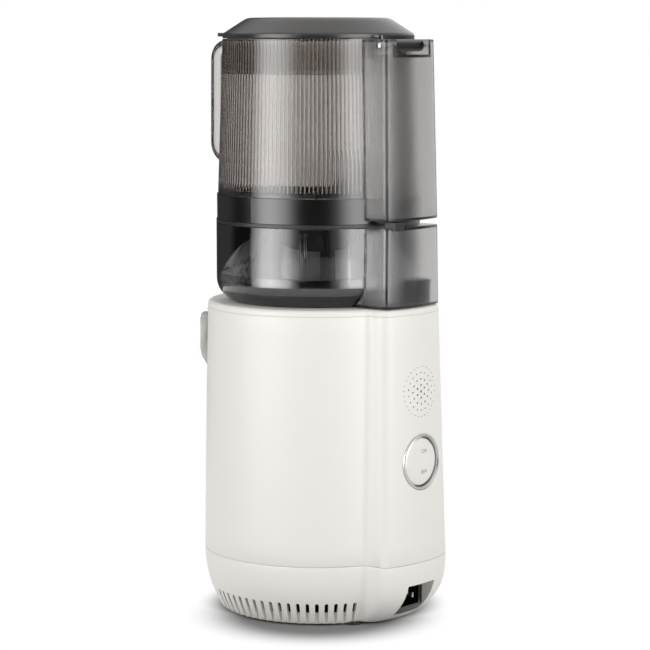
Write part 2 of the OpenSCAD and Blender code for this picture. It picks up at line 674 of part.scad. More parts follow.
module idler_gear() color(gear_ivory) translate([gear_axes, 0, gear_z]) difference() {
    union() {
        gear(gear_teeth, face_1, gear_add, gear_ded, 0, 180 / gear_teeth);
        translate([0, 0, face_1 - 1])
            gear(pinion_teeth, output_top + 3 - gear_z - face_1, pinion_add, pinion_ded, 0, 0);
    }
    translate([0, 0, -1]) cylinder(r = axle_r, h = 80, $fn = round_fn);
}
module output_gear() color(gear_ivory) translate([0, 0, output_z])
    gear(gear_teeth, face_2, gear_add, gear_ded, shaft_r + run_fit / 2, 180 / gear_teeth);
module output_shaft() color(bright) {
    translate([0, 0, output_z]) cylinder(r = shaft_r, h = deck_z - output_z, $fn = 64);
    translate([0, 0, deck_z - 1]) cylinder(r = shaft_r, h = drive_h + 1, $fn = 6);
    ring(shaft_r - 0.5, shaft_r + 3, output_top, output_top + 3);
}
module output_bearing() color(bright) ring(shaft_r + run_fit, 15 - run_fit, cover_under + 2, cover_top + 5);

// ---- drum ----
drum_low_r = drum_r - drum_round;
floor_t = 3;
boss_in = shaft_r + 2.2;
boss_out = boss_in + 3;
boss_top_z = drum_z + 14;
function drum_profile(grow) = concat([[drum_low_r, drum_z - grow]],
    arc([drum_low_r, drum_z + drum_round], drum_round + grow, -80, 0, 8));
function drum_inner() = concat([[drum_low_r, drum_z + floor_t]],
    arc([drum_low_r, drum_z + drum_round + floor_t - drum_wall], drum_round - drum_wall, -80, 0, 8));
spout_front = body_r_seam - 4.5;
spout_w = 2 * (mouth_r + 4);
duct_w = 24;
duct_h = 20;
duct_t = 2.2;
duct_z = drum_z + 8.5;
duct_turn = 222;
// places its children on the pulp side, with +X pointing outwards
module pulp_side() rotate([0, 0, duct_turn]) children();
module duct(grow, r0, r1) translate([r0, -duct_w / 2 - grow, duct_z - grow])
    cube([r1 - r0, duct_w + 2 * grow, duct_h + 2 * grow]);
module drum_bowl() color(smoke) difference() {
    union() {
        difference() {
            spin(concat(drum_profile(0), [[drum_r, drum_top]]));
            spin(concat(drum_inner(), [[drum_r - drum_wall, drum_top + 1]]));
        }
        translate([0, 0, drum_z]) cylinder(r = boss_out, h = boss_top_z - drum_z);
    }
    translate([0, 0, drum_z - 1]) cylinder(r = boss_in, h = 40);
    translate([-spout_w / 2 + 5, -spout_front + 9, drum_z - 5]) cube([spout_w - 10, 14, 12]);
    pulp_side() duct(fit / 2, 60, 100);
}
module drum_floor() color(ink) difference() {
    translate([0, 0, drum_z + floor_t + soft_gap]) cylinder(r = 58, h = 2.4);
    translate([0, 0, drum_z]) cylinder(r = boss_out + soft_gap, h = 20);
}
module box_plan(z0, z1, inset, n) intersection() {
    spin([for (z = steps(z0, z1, n)) [box_back(z) - inset, z]]);
    back_slab([for (z = steps(z0, z1, n)) [box_side(z) - inset, z]], 110);
}
box_low = deck_z + soft_gap;
drum_box_top = rim_top - 2.2;
module drum_rear_cover() color(frost) difference() {
    box_plan(box_low, drum_box_top, 0, 2);
    difference() {
        box_plan(box_low + box_wall, drum_box_top - box_wall, box_wall, 2);
        translate([0, 0, drum_z]) cylinder(r = drum_low_r - 1, h = drum_h);
    }
    spin(concat([[drum_low_r, drum_z - 20]], drum_profile(fit), [[drum_r + fit, drum_top + 20]]));
    translate([0, 0, drum_z - 5]) cylinder(r = drum_low_r, h = drum_h + 40);
    button_cut();
}
module drum_rim_ring() color(ink) difference() {
    ring(drum_r - 5.4, drum_r, rim_z, rim_top);
    for (a = [30 : 60 : 330]) rotate([0, 0, a]) translate([drum_r - 6, -5, rim_z + rim_h - 1])
        cube([4, 10, 3]);
}
block_z = box_low + box_wall + fit / 2;
module lock_block() color(ink) translate([-22, drum_r + 1.6, block_z]) cube([18, 11, 17]);
button_x = 21;
button_w = 11;
button_y = 97.2;
button_deep = 9.4;
button_z = drum_box_top - box_wall + fit;
button_top = box_z - 0.7;
button_travel = 3;
button_back = button_y - button_deep;
module button_cut() translate([button_x - button_w / 2 - soft_gap, button_back - button_travel - 0.4,
    drum_box_top - box_wall - eps]) cube([button_w + 2 * soft_gap, 20, 8]);
// ribbed push tab in the gap between the two rear covers
module lock_button() color(rubber_grey) difference() {
    translate([button_x - button_w / 2, button_back, button_z])
        cube([button_w, button_deep, button_top - button_z]);
    for (i = [0 : 4]) translate([button_x - button_w / 2 + 1.3 + i * 1.9, button_y - 0.6, drum_box_top - 4])
        cube([0.9, 2, 14]);
}

// ---- juice spout and tap ----
mouth_y = reach - 10;
pivot_y = 13.5 - reach;
pivot_z = lever_z + 15;
lug_r = 2.6;
module juice_spout() color(warm_white) difference() {
    union() {
        translate([-spout_w / 2, -spout_front, mouth_z - mouth_r - 1.5])
            cube([spout_w, spout_front - spout_in, drum_z + 9 - mouth_z + mouth_r]);
        rod_y(mouth_r, -mouth_y, -spout_front + 1, 0, mouth_z);
        for (x = [-12, 8]) {
            translate([x, pivot_y, pivot_z - lug_r]) cube([4, -spout_front - pivot_y + 1, 2 * lug_r]);
            translate([x, pivot_y, pivot_z]) rotate([0, 90, 0]) cylinder(r = lug_r, h = 4, $fn = round_fn);
        }
    }
    spin(concat([[drum_low_r, drum_z - fit]], drum_profile(fit), [[drum_r + fit, drum_top]]));
    translate([0, 0, drum_z - fit]) cylinder(r = drum_low_r, h = 60);
    rod_y(mouth_bore_r, -mouth_y - 1, -spout_front + 6, 0, mouth_z);
    translate([-spout_w / 2 + 3, -spout_front + 3, mouth_z - mouth_bore_r])
        cube([spout_w - 6, spout_front - spout_in - 6, drum_z - 3 - mouth_z + mouth_bore_r]);
    translate([-spout_w / 2 + 5, -spout_front + 9, drum_z - 12]) cube([spout_w - 10, 14, 30]);
    rod_x(tap_pin_r + run_fit, 60, pivot_y, pivot_z, $fn = round_fn);
}
module tap_pin() color(bright) rod_x(tap_pin_r, 34, pivot_y, pivot_z, $fn = round_fn);
lever_top_r = 8.5;
lever_low_r = 18;
lever_top_z = pivot_z + lug_r + soft_gap + lever_t;
lever_end_y = pivot_y - 3.2;
lever_low_z = lever_z - 11;
// outline of the lever's strap in the YZ plane, inset from its outer face
function lever_line(inset) = concat([[lever_end_y, lever_top_z - inset]],
    arc([-reach + lever_top_r, lever_top_z - lever_top_r], lever_top_r - inset, 90, 180, 8),
    arc([-reach + lever_low_r, lever_low_z], lever_low_r - inset, 180, 248, 10));
module tap_lever() color(bright) difference() {
    union() {
        side_extrude(lever_w) polygon(concat(lever_line(0), reversed(lever_line(lever_t))));
        for (x = [-16, 12.5]) {
            translate([x, pivot_y - 9, pivot_z]) cube([3.5, 9, lug_r + soft_gap + 0.5]);
            translate([x, pivot_y, pivot_z]) rotate([0, 90, 0]) cylinder(r = 3, h = 3.5, $fn = round_fn);
        }
    }
    rod_x(tap_pin_r + run_fit, 60, pivot_y, pivot_z, $fn = round_fn);
}
plug_r = mouth_r - 0.7;
module tap_plug() color(milky) {
    rod_y(mouth_bore_r - 0.9, -mouth_y - soft_gap, -mouth_y + 1.2, 0, mouth_z);
    rod_y(plug_r, -mouth_y - soft_gap - 2.4, -mouth_y - soft_gap, 0, mouth_z);
    rod_y(5, -reach + lever_t, -mouth_y - soft_gap - 2, 0, mouth_z);
}

// ---- pulp outlet ----
duct_end = 96;
flap_y_gap = 0.4;
pulp_pivot_r = duct_end + 2.5;
pulp_pivot_z = duct_z + duct_h + 1.5;
module pulp_spout() color(ink) pulp_side() difference() {
    union() {
        duct(0, 40, duct_end);
        for (y = [-9, 6]) translate([0, y, 0]) {
            translate([duct_end - 8, 0, duct_z + duct_h - 2]) cube([10, 3, 5.5]);
            translate([pulp_pivot_r, 0, pulp_pivot_z]) rotate([-90, 0, 0])
                cylinder(r = 2.6, h = 3, $fn = round_fn);
        }
    }
    duct(-duct_t, 30, 120);
    translate([0, 0, duct_z - 5]) cylinder(r = frame_out + soft_gap, h = 60);
    translate([pulp_pivot_r, 20, pulp_pivot_z]) rotate([90, 0, 0])
        cylinder(r = 1 + run_fit, h = 40, $fn = round_fn);
}
module pulp_pin() color(bright) pulp_side() translate([pulp_pivot_r, 11, pulp_pivot_z]) rotate([90, 0, 0])
    cylinder(r = 1, h = 22, $fn = round_fn);
module pulp_flap() color(rubber_grey) pulp_side() difference() {
    union() {
        translate([duct_end + flap_y_gap, -duct_w / 2, duct_z]) cube([2.4, duct_w, duct_h - 2]);
        translate([duct_end + flap_y_gap, -5.5, duct_z + 3]) cube([2.4, 11, duct_h - 1]);
        translate([pulp_pivot_r, 5.5, pulp_pivot_z]) rotate([90, 0, 0])
            cylinder(r = 2, h = 11, $fn = round_fn);
    }
    translate([pulp_pivot_r, 20, pulp_pivot_z]) rotate([90, 0, 0])
        cylinder(r = 1 + run_fit, h = 40, $fn = round_fn);
}

// ---- strainer ----
mesh_t = 0.6;
frame_in = strainer_r + mesh_t + 0.1;
frame_out = frame_in + 2.6;
strainer_z = drum_z + floor_t + 2.4 + 2 * soft_gap;
strainer_top = drum_top - 0.6;
window_z = drum_z + 18.7;
window_h = 15;
window_w = 34;
window_count = 7;
window_pitch = 360 / window_count;
window_turn = 22.6;
duct_window = 4;
module strainer_frame() color(ink) difference() {
    union() {
        translate([0, 0, strainer_z]) cylinder(r = frame_out, h = strainer_top - strainer_z);
        translate([0, 0, strainer_top - 3]) cylinder(r = frame_out + 5, h = 3);
        for (k = [0 : window_count - 1]) rotate([0, 0, window_turn + (k + 0.5) * window_pitch])
            translate([frame_in, -1.5, strainer_z + 28])
                cube([frame_out - frame_in + 4, 3, strainer_top - strainer_z - 29]);
    }
    translate([0, 0, strainer_z + 3]) cylinder(r = frame_in, h = 100);
    translate([0, 0, strainer_z - 1]) cylinder(r = boss_out + soft_gap, h = 20);
    for (k = [0 : window_count - 1]) if (k != duct_window)
        rotate([0, 0, window_turn + k * window_pitch]) translate([40, -window_w / 2, window_z])
            cube([30, window_w, window_h]);
    pulp_side() duct(-duct_t + 1, 40, 70);
}
module strainer_mesh() color(steel) difference() {
    ring(strainer_r, strainer_r + mesh_t, strainer_z + 3 + fit / 2, strainer_top - 1);
    pulp_side() duct(-duct_t + 1, 40, 70);
}

// ---- auger ----
auger_z = strainer_z + 3 + 2 * soft_gap;
auger_top = drum_top - 8;
flight_turns = 1.5;
wing_z = auger_top + 9;
socket_r = boss_out - 1;
socket_z = boss_top_z + 1.2;
hex_top = deck_z + drive_h;
module auger_screw() color(ink) difference() {
    union() {
        spin([[core_r_low, auger_z], [core_r_high, auger_top - 2], [core_r_high - 4, auger_top],
            [20, auger_top + 6], [14, wing_z]]);
        translate([0, 0, auger_z]) linear_extrude(auger_top - auger_z - 1, twist = -360 * flight_turns,
            slices = 36, $fn = 24) for (a = [0, 180]) rotate(a) translate([core_r_low - 6, -2.4])
                square([auger_r - core_r_low + 6, 4.8]);
    }
    translate([0, 0, auger_z - 1]) cylinder(r = boss_out + 0.8, h = boss_top_z - auger_z + 1.6);
    translate([0, 0, auger_z - 1]) cylinder(r = socket_r, h = hex_top + 5 - auger_z);
}
module auger_socket() color(steel) difference() {
    translate([0, 0, socket_z]) cylinder(r = socket_r - run_fit, h = hex_top + 4 - fit - socket_z);
    translate([0, 0, socket_z - 1]) cylinder(r = shaft_r + fit, h = hex_top + 2 - socket_z, $fn = 6);
}
wing_t = 4;
module cutting_wing() color(ink) difference() {
    union() {
        translate([0, 0, wing_z + fit / 2]) cylinder(r = 14, h = 10);
        translate([0, 0, wing_z + 2]) linear_extrude(wing_h, twist = -200, slices = 30, $fn = 24)
            translate([0, -wing_t / 2]) square([wing_r, wing_t]);
    }
    translate([0, 0, wing_z + wing_h * 0.5]) rotate_extrude()
        polygon([[0, 0], [12, 0], [wing_r - 12, wing_h * 0.6], [0, wing_h]]);
}

// ---- hopper ----
module hopper_ring() color(ink) rotate_extrude() polygon([
    [ring_r - 0.1, ring_z], [ring_r, ring_top], [ring_r - 3.4, ring_top], [ring_r - 3.4, ring_top - 3],
    [throat_r, ring_z + 5.5], [throat_r, ring_z], [throat_r + 3, ring_z], [throat_r + 3, ring_z + 2.6],
    [ring_r - 3.4, ring_top - 7], [ring_r - 3.4, ring_z]]);
module hopper_seal() color(rubber_grey) ring(throat_r + 0.2, throat_r + 2.8, ring_z - 2.2, ring_z);
module hopper_tub() color(smoke) rotate_extrude() polygon([
    [tub_out(tub_z), tub_z], [tub_out(tub_top), tub_top], [tub_out(tub_top) - tub_wall, tub_top],
    [tub_out(tub_z) - tub_wall, tub_z]]);
hinge_z = tub_top - hinge_drop;
pocket_w = 20.3;
pocket_y = 74.8;
pocket_z = hinge_z - 6.8;
module hopper_rear_cover() color(frost) difference() {
    union() {
        difference() {
            box_plan(box_z, box_top, 0, 4);
            box_plan(box_z + box_wall, box_top - box_wall, box_wall, 4);
        }
        intersection() {
            box_plan(box_z, box_top, 0.2, 4);
            translate([-pocket_w - box_wall, pocket_y - box_wall, pocket_z - box_wall])
                cube([2 * (pocket_w + box_wall), 40, 40]);
        }
    }
    translate([-pocket_w, pocket_y, pocket_z]) cube([2 * pocket_w, 40, 40]);
    spin([[ring_r + fit, box_z - 10], [ring_r + fit, tub_z], [tub_out(tub_z) + fit, tub_z + eps],
        [tub_out(tub_top) + fit, tub_top]]);
    rod_x(hinge_pin_r + run_fit, 80, hinge_y, hinge_z, $fn = round_fn);
}
handle_top = tub_top - 1.2;
handle_low = tub_z + 21;
grip_low = handle_reach + 0.6;
// outline of the handle's strap in the YZ plane, inset from its outer face
function handle_line(inset) = concat([[-tub_r_high + 6, handle_top - inset]],
    arc([-handle_reach + 15, handle_top - 15], 15 - inset, 90, 180, 8),
    arc([-grip_low + 16, handle_low + 16], 16 - inset, 180, 265, 8),
    [[-tub_r_low + 6, handle_low - 1.6 + inset]]);
module hopper_handle() color(smoke) difference() {
    side_extrude(handle_w) polygon(concat(handle_line(0), reversed(handle_line(handle_t))));
    spin([[tub_out(tub_z) + fit / 2, tub_z], [tub_out(tub_top) + fit / 2, tub_top]]);
}
module hinge_pin() color(bright) rod_x(hinge_pin_r, 2 * box_side(hinge_z) - 0.6, hinge_y, hinge_z,
    $fn = round_fn);

// ---- lid ----
lid_rim_r = tub_r_high - 0.1;
lid_rim_h = 3.7;
skirt_r = tub_r_high - tub_wall - 2.8;
arm_w = pocket_w - 0.8;
barrel_r = 4.6;
function lid_profile(inset) = [[lid_rim_r - inset, lid_z], [lid_rim_r - inset, lid_z + lid_rim_h - inset / 4],
    [lid_rim_r - 4.2 - inset * 0.9, lid_z + 0.5 * lid_h - inset * 0.4],
    [lid_top_r + 3.8 - inset * 0.4, lid_top - 2 - inset * 0.9],
    [lid_top_r - inset * 0.2, lid_top - inset]];
module lid_shell() color(smoke) difference() {
    union() {
        difference() {
            union() {
                spin(lid_profile(0));
                translate([-tab_w, -tab_reach, lid_z + 1.3]) cube([2 * tab_w, tab_reach - 60, 2.4]);
                translate([-box_w_high, 50, lid_z]) cube([2 * box_w_high, hinge_y - 56.6, 2.4]);
                translate([-arm_w, 50, lid_z]) cube([2 * arm_w, hinge_y - 50 + 5.4, 2.4]);
            }
            difference() {
                translate([0, 0, -eps]) spin(lid_profile(lid_wall));
                ring(skirt_r - 2.4, skirt_r, lid_z - 1, lid_z + 7.5);
            }
        }
        difference() {
            ring(skirt_r - 2.4, skirt_r, lid_z - 5.4, lid_z + 7.5);
            translate([-100, 60, 0]) cube([200, 60, lid_z - eps]);
        }
        translate([-arm_w, hinge_y - 4, hinge_z]) cube([2 * arm_w, 8, lid_z - hinge_z + 0.5]);
        rod_x(barrel_r, 2 * arm_w, hinge_y, hinge_z);
    }
    rod_x(hinge_pin_r + run_fit, 80, hinge_y, hinge_z, $fn = round_fn);
}
module lid_gasket() color(ink) difference() {
    ring(skirt_r + 0.05, skirt_r + 1.6, lid_z - 2.4, lid_z);
    translate([-100, 60, 0]) cube([200, 60, 600]);
}

base_shell();
bottom_plate();
rubber_feet();
bottom_screws();
body_shell();
top_cover();
deck_seal();
deck_bush();
switch_bezel();
switch_rocker();
rocker_pin();
switch_housing();
control_board();
vent_screen();
inlet_socket();
inlet_pins();
inner_leads();
motor_can();
stator_core();
stator_windings();
rotor_core();
motor_shaft();
motor_bearings();
cooling_fan();
motor_screws();
gearbox_housing();
gearbox_cover();
cover_screws();
deck_screws();
idler_axle();
idler_gear();
output_gear();
output_shaft();
output_bearing();
drum_bowl();
drum_floor();
drum_rear_cover();
drum_rim_ring();
lock_block();
lock_button();
juice_spout();
tap_pin();
tap_lever();
tap_plug();
pulp_spout();
pulp_pin();
pulp_flap();
strainer_frame();
strainer_mesh();
auger_screw();
auger_socket();
cutting_wing();
hopper_ring();
hopper_seal();
hopper_tub();
hopper_rear_cover();
hopper_handle();
hinge_pin();
lid_shell();
lid_gasket();
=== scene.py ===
"""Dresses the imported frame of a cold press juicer: outer mouldings, clear parts, finishes and a plain studio."""

import json
import math

import bmesh
import bpy
from mathutils import Matrix, Vector


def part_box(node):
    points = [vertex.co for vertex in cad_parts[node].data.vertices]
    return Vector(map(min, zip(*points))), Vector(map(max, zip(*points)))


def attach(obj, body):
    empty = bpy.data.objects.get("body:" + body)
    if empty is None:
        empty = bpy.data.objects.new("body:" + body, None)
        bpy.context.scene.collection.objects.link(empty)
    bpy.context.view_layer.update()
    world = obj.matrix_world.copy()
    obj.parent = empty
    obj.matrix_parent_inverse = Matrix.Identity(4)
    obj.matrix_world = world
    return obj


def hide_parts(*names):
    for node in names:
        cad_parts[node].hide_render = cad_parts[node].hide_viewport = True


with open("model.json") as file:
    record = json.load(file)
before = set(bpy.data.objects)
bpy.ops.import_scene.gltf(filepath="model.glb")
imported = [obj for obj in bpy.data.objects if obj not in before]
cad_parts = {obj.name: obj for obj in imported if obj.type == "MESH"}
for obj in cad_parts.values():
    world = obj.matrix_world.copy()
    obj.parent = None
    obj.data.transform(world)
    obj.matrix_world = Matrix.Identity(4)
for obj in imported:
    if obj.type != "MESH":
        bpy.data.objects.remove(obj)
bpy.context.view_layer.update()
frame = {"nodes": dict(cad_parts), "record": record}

bl_info = {
    "name": "Cold Press Juicer Dressing",
    "version": (1, 0, 0),
    "blender": (4, 5, 0),
    "location": "3D View > Sidebar > Juicer",
    "description": "Builds the outer pieces, finishes and studio of a slow juicer around its packed frame",
    "category": "Object",
}

MM = 0.001
FULL_TURN = 2 * math.pi

# How far the body draws in from the seam to the foot, the power of each curve, and the swell of its upright sides
FOOT_DRAW, FOOT_CURVE = 12.2 * MM, 2.1
POD_DRAW, POD_CURVE = 22 * MM, 2.8
SIDE_DRAW, SIDE_CURVE = 8 * MM, 3
BELLY = 1.2 * MM
# The air slots on each side: number, first angle and pitch in degrees, and depth of the groove at both ends in mm
SLOT_COUNT, SLOT_START, SLOT_PITCH = 18, 59.4, 5
GROOVE_DEPTHS = (0.7, 3.6)
# Back of the spout's notch, and how strongly the switch's bezel bends with the body
NOTCH_BACK, BEZEL_BEND = -54 * MM, 2.4
# The rear covers: heights and distances of the back, half widths at both ends in mm, and the place of their front
BOX_BACKS = ((242.3, 99.4), (309.3, 98.6), (445.0, 95.2))
BOX_HALVES = (32.7, 29.5)
BOX_FRONT = 60 * MM
# Play between a rear cover and what it stands against, and how far inside the outer form a recess's walls end
FIT, LINING_TRIM = 0.2 * MM, 0.3 * MM
# Beyond the back and the top, where cutters end
OUTSIDE, ABOVE = 0.12, 0.46
# The dotted vent: dots in each ring, and how much smaller than the middle dot they get from ring to ring
DOT_RINGS, DOT_SHRINK = (1, 6, 12, 18, 30), 0.14
# Compass directions of the pulp spout's opening and, in degrees, of the lugs inside the drum
PULP_HEADING = math.radians(222)
RIB_HEADINGS = (29.9, 33.1, 57.6, 118.0, 212.0, 298.0)
# Axis of the lid's hinge, and the lid's profile as radius and height above its edge, in mm
HINGE_Y, HINGE_Z = 83.4 * MM, 0.44
LID_OUTER = [(73.6, 0.0), (74.0, 0.4), (74.0, 3.0), (73.6, 3.7), (72.6, 4.4), (69.9, 6.1), (66.2, 8.5), (62.3, 11.0),
             (59.0, 13.1), (56.6, 14.5), (54.6, 15.3), (52.4, 15.65), (49.0, 15.7), (24.0, 15.7), (0.0, 15.7)]
LID_INNER = [(0.0, 13.3), (24.0, 13.3), (49.0, 13.3), (53.0, 12.9), (55.4, 12.2), (58.0, 10.7), (61.2, 8.6),
             (65.2, 6.0), (69.0, 3.6), (71.0, 2.2), (71.4, 1.4), (71.4, 0.0)]
# Rise of a row of holes as a share of their pitch
ROW_RISE = 0.32
# Brightness that the softboxes show to glass and metal, by compass direction in degrees
ROOM_PEAK = 7.0
ROOM_STOPS = ((-180, 1.0), (-137, 0.12), (-118, 0.05), (-78, 0.2), (-66, 0.05), (-43, 0.05), (-39.5, 1.7), (-33, 3.4),
              (-26, 6.0), (-15, 6.8), (-5, 5.4), (4, 3.7), (12.6, 1.0), (20, 0.03), (52, 0.02), (62, 0.7), (71, 3.3),
              (79, 5.8), (100, 5.4), (112, 2.4), (122, 0.4), (150, 0.3), (166, 1.0), (180, 1.0))
# The room's upright edge at the left: where it starts and stops to fade, and heights and lean of its slanted foot
ROOM_EDGE = (math.radians(-137.4), math.radians(-139.6))
ROOM_FOOT, ROOM_LEAN = (-0.078, -0.066), math.radians(-3)
# Centre of each painted shadow under the object, and where it starts and stops to fade
FLOOR_FADES = (((0.0305, 0.025, 0), 0.054, 0.105), ((0, 0.004, 0), 0.072, 0.102))
# Floor colour in the painted shadow under the object, and beyond it
PAINTED_FLOOR_SHADOW, FLOOR_PALE = (0.24, 0.24, 0.24, 1), (0.55, 0.55, 0.55, 1)
# The softboxes: distance from the axis, height, how far down they look, size upright, and their names with
# their directions in degrees and widths
LAMP_REACH, LAMP_HEIGHT, LAMP_DROP, LAMP_TALL = 1.2, 0.52, 0.26, 0.7
LAMPS = (("key", -13, 1.0), ("fill", 88, 0.8), ("rear", 215, 1.2))


# ---------------------------------------------------------------- sizes and colours


def length(name, description, default):
    """A length property in metres, given in millimetres."""
    return bpy.props.FloatProperty(
        name=name, description=description, default=default * MM, min=0.0, unit="LENGTH", precision=5)


def colour(name, description, default):
    """A linear colour property."""
    return bpy.props.FloatVectorProperty(
        name=name, description=description, default=default, size=3, min=0.0, max=1.0, subtype="COLOR")


class JuicerBodySizes(bpy.types.PropertyGroup):
    """Sizes of the motor base's mouldings."""

    foot: length("Foot", "Height of the lower edge of the base moulding", 1.6)
    seam: length("Seam", "Height of the seam between base and body", 48.1)
    body_foot: length("Body foot", "Height of the lower edge of the body moulding", 48.4)
    body_top: length("Body top", "Height of the upper edge of the body moulding", 238.0)
    cover_foot: length("Cover foot", "Height of the lower edge of the top cover", 238.15)
    deck: length("Deck", "Height of the deck that the drum stands on", 243.2)
    round_seam: length("Radius at the seam", "Radius of the round body at the seam", 89.6)
    round_top: length("Radius at the top", "Radius of the round body at its top", 86.35)
    pod_seam: length("Pod at the seam", "Radius of the pod's back at the seam", 106.0)
    pod_top: length("Pod at the top", "Radius of the pod's back at the top", 100.3)
    side_seam: length("Pod side at the seam", "Half width of the pod at the seam", 39.5)
    side_top: length("Pod side at the top", "Half width of the pod at the top", 35.0)
    corner: length("Pod corner", "Rounding of the pod's upright corners", 10.0)
    blend: length("Pod blend", "Rounding where the pod meets the round body", 7.0)
    wall: length("Wall", "Wall of the mouldings", 2.6)
    notch_floor: length("Notch floor", "Height of the floor of the spout's notch", 186.0)
    notch_half: length("Notch half width", "Half width of the spout's notch", 20.5)


class JuicerDrumSizes(bpy.types.PropertyGroup):
    """Sizes of the juicing drum and its rear cover."""

    radius: length("Radius", "Outer radius of the drum", 79.4)
    foot: length("Foot", "Height of the drum's underside", 242.3)
    top: length("Top", "Height of the drum's rim", 303.9)
    rounding: length("Rounding", "Rounding under the drum", 18.4)
    wall: length("Wall", "Wall of the drum", 2.6)
    cover_foot: length("Cover foot", "Height of the underside of the rear cover", 243.5)
    cover_top: length("Cover top", "Height of the top of the rear cover", 304.4)
    cover_wall: length("Cover wall", "Wall of the rear covers", 2.2)


class JuicerHopperSizes(bpy.types.PropertyGroup):
    """Sizes of the hopper, its rear cover, handle and lid."""

    tub_foot: length("Tub foot", "Height of the underside of the clear tub", 326.0)
    tub_top: length("Tub top", "Height of the tub's rim", 445.0)
    tub_low: length("Tub radius low", "Outer radius of the tub at its foot", 78.0)
    tub_high: length("Tub radius high", "Outer radius of the tub at its rim", 74.1)
    tub_wall: length("Tub wall", "Wall of the tub", 2.4)
    flutes: bpy.props.IntProperty(name="Flutes", description="Number of flutes round the tub", default=144, min=24)
    flute_depth: length("Flute depth", "Depth of a flute", 0.55)
    flute_foot: length("Flute foot", "Height where the flutes begin", 329.0)
    band_foot: length("Band edge", "Height of the lower edge of the thicker wall under the rim", 419.0)
    band_top: length("Band top", "Height where the thicker wall ends, under the lid's skirt", 438.6)
    band_wall: length("Band wall", "How much thicker the wall is there", 1.6)
    handle_width: length("Handle width", "Width of the handle's strap", 20.0)
    handle_wall: length("Handle thickness", "Thickness of the handle's strap", 3.0)
    box_foot: length("Box foot", "Height of the underside of the rear cover", 309.3)
    box_top: length("Box top", "Height of the top of the rear cover", 444.5)
    box_corner: length("Box corner", "Rounding of the rear covers' upright corners", 4.5)
    lid_foot: length("Lid foot", "Height of the lid's lower edge", 445.3)


class JuicerControlSizes(bpy.types.PropertyGroup):
    """Places and sizes of the rear controls."""

    switch_height: length("Switch height", "Height of the rocker switch", 125.3)
    bezel: length("Bezel", "Outer radius of the switch's bezel", 21.5)
    dots_height: length("Vent height", "Height of the dotted vent", 179.4)
    dots_pitch: length("Vent pitch", "Distance between the rings of dots", 4.76)
    dot: length("Dot", "Radius of the middle dot", 1.15)
    slot: length("Air slot", "Width of an air slot", 2.9)
    slot_top: length("Air slot top", "Height of the top of the air slots", 19.0)
    slot_break: length("Air slot break", "Height where an air slot turns into a groove", 10.7)
    inlet_half: length("Inlet half width", "Half width of the power recess", 16.0)
    inlet_foot: length("Inlet foot", "Height of the floor of the power recess", 5.9)
    inlet_top: length("Inlet top", "Height of the top of the power recess", 31.0)
    inlet_panel: length("Inlet panel", "Distance of the socket's face from the axis", 91.5)


class JuicerColours(bpy.types.PropertyGroup):
    """Colours of the finishes."""

    shell: colour("Shell", "Warm white satin moulding", (0.82, 0.80, 0.765))
    ink: colour("Ink", "Black textured plastic", (0.012, 0.012, 0.013))
    smoke: colour("Smoke", "Tint of the tub's and handle's clear smoked plastic", (0.38, 0.33, 0.29))
    drum_smoke: colour("Drum smoke", "Tint of the drum's clear smoked plastic", (0.30, 0.31, 0.32))
    frost: colour("Frost", "Tint of the rear covers' frosted smoked plastic", (0.36, 0.33, 0.30))
    milky: colour("Milky", "Translucent silicone of the tap's plug", (0.76, 0.76, 0.74))
    lid: colour("Lid", "Dark smoked plastic of the lid", (0.10, 0.092, 0.085))
    chrome: colour("Chrome", "Bright satin plated metal", (0.9, 0.905, 0.91))
    steel: colour("Steel", "Plain steel", (0.55, 0.56, 0.57))
    copper: colour("Copper", "Wound copper wire", (0.62, 0.28, 0.12))
    gear: colour("Gear", "Moulded gear plastic", (0.72, 0.68, 0.58))
    board: colour("Board", "Coated circuit board", (0.03, 0.16, 0.06))
    bush: colour("Bush", "Sintered bronze", (0.5, 0.33, 0.14))


class JuicerStudio(bpy.types.PropertyGroup):
    """The camera and the light."""

    distance: length("Distance", "Level distance of the camera from the drive axis", 1798.3)
    eye: length("Eye height", "Height of the camera", 444.17)
    heading: bpy.props.FloatProperty(
        name="Heading", description="Direction of the camera from the axis, from +X", default=math.radians(40.21),
        subtype="ANGLE")
    pitch: bpy.props.FloatProperty(
        name="Pitch", description="How far the camera looks down", default=0.1229, subtype="ANGLE")
    yaw: bpy.props.FloatProperty(
        name="Yaw", description="How far the camera looks to the right of the axis", default=0.0029, subtype="ANGLE")
    lens: bpy.props.FloatProperty(name="Lens", description="Focal length in millimetres", default=127.9, min=1.0)
    key: bpy.props.FloatProperty(name="Key light", description="Power of the left softbox in watts", default=7.7)
    fill: bpy.props.FloatProperty(name="Fill light", description="Power of the right softbox in watts", default=7.6)
    rear: bpy.props.FloatProperty(name="Rear light", description="Power of the far softbox in watts", default=5.5)
    ambient: bpy.props.FloatProperty(
        name="Ambient", description="Strength of the even light from all round", default=0.46)


GROUPS = {
    "juicer_body": JuicerBodySizes,
    "juicer_drum": JuicerDrumSizes,
    "juicer_hopper": JuicerHopperSizes,
    "juicer_control": JuicerControlSizes,
    "juicer_colours": JuicerColours,
    "juicer_studio": JuicerStudio,
}


# ---------------------------------------------------------------- shapes


def mix(a, b, t):
    return a + (b - a) * t


def arc_points(centre, radius, start, end, count):
    """Points of an arc in plan, from one angle to another, without the last one."""
    return [Vector((centre[0] + radius * math.cos(mix(start, end, i / count)),
                    centre[1] + radius * math.sin(mix(start, end, i / count)))) for i in range(count)]


def rounded_back(half, back, corner):
    """Plan points of the +X half of a curved back, from its middle round one rounded corner to its side."""
    centre = Vector((half - corner, math.sqrt((back - corner) ** 2 - (half - corner) ** 2)))
    turn = math.atan2(centre.y, centre.x)
    return (arc_points((0, 0), back, math.pi / 2, turn, 10)
            + arc_points(centre, corner, turn, 0.0, 10) + [Vector((half, centre.y))])


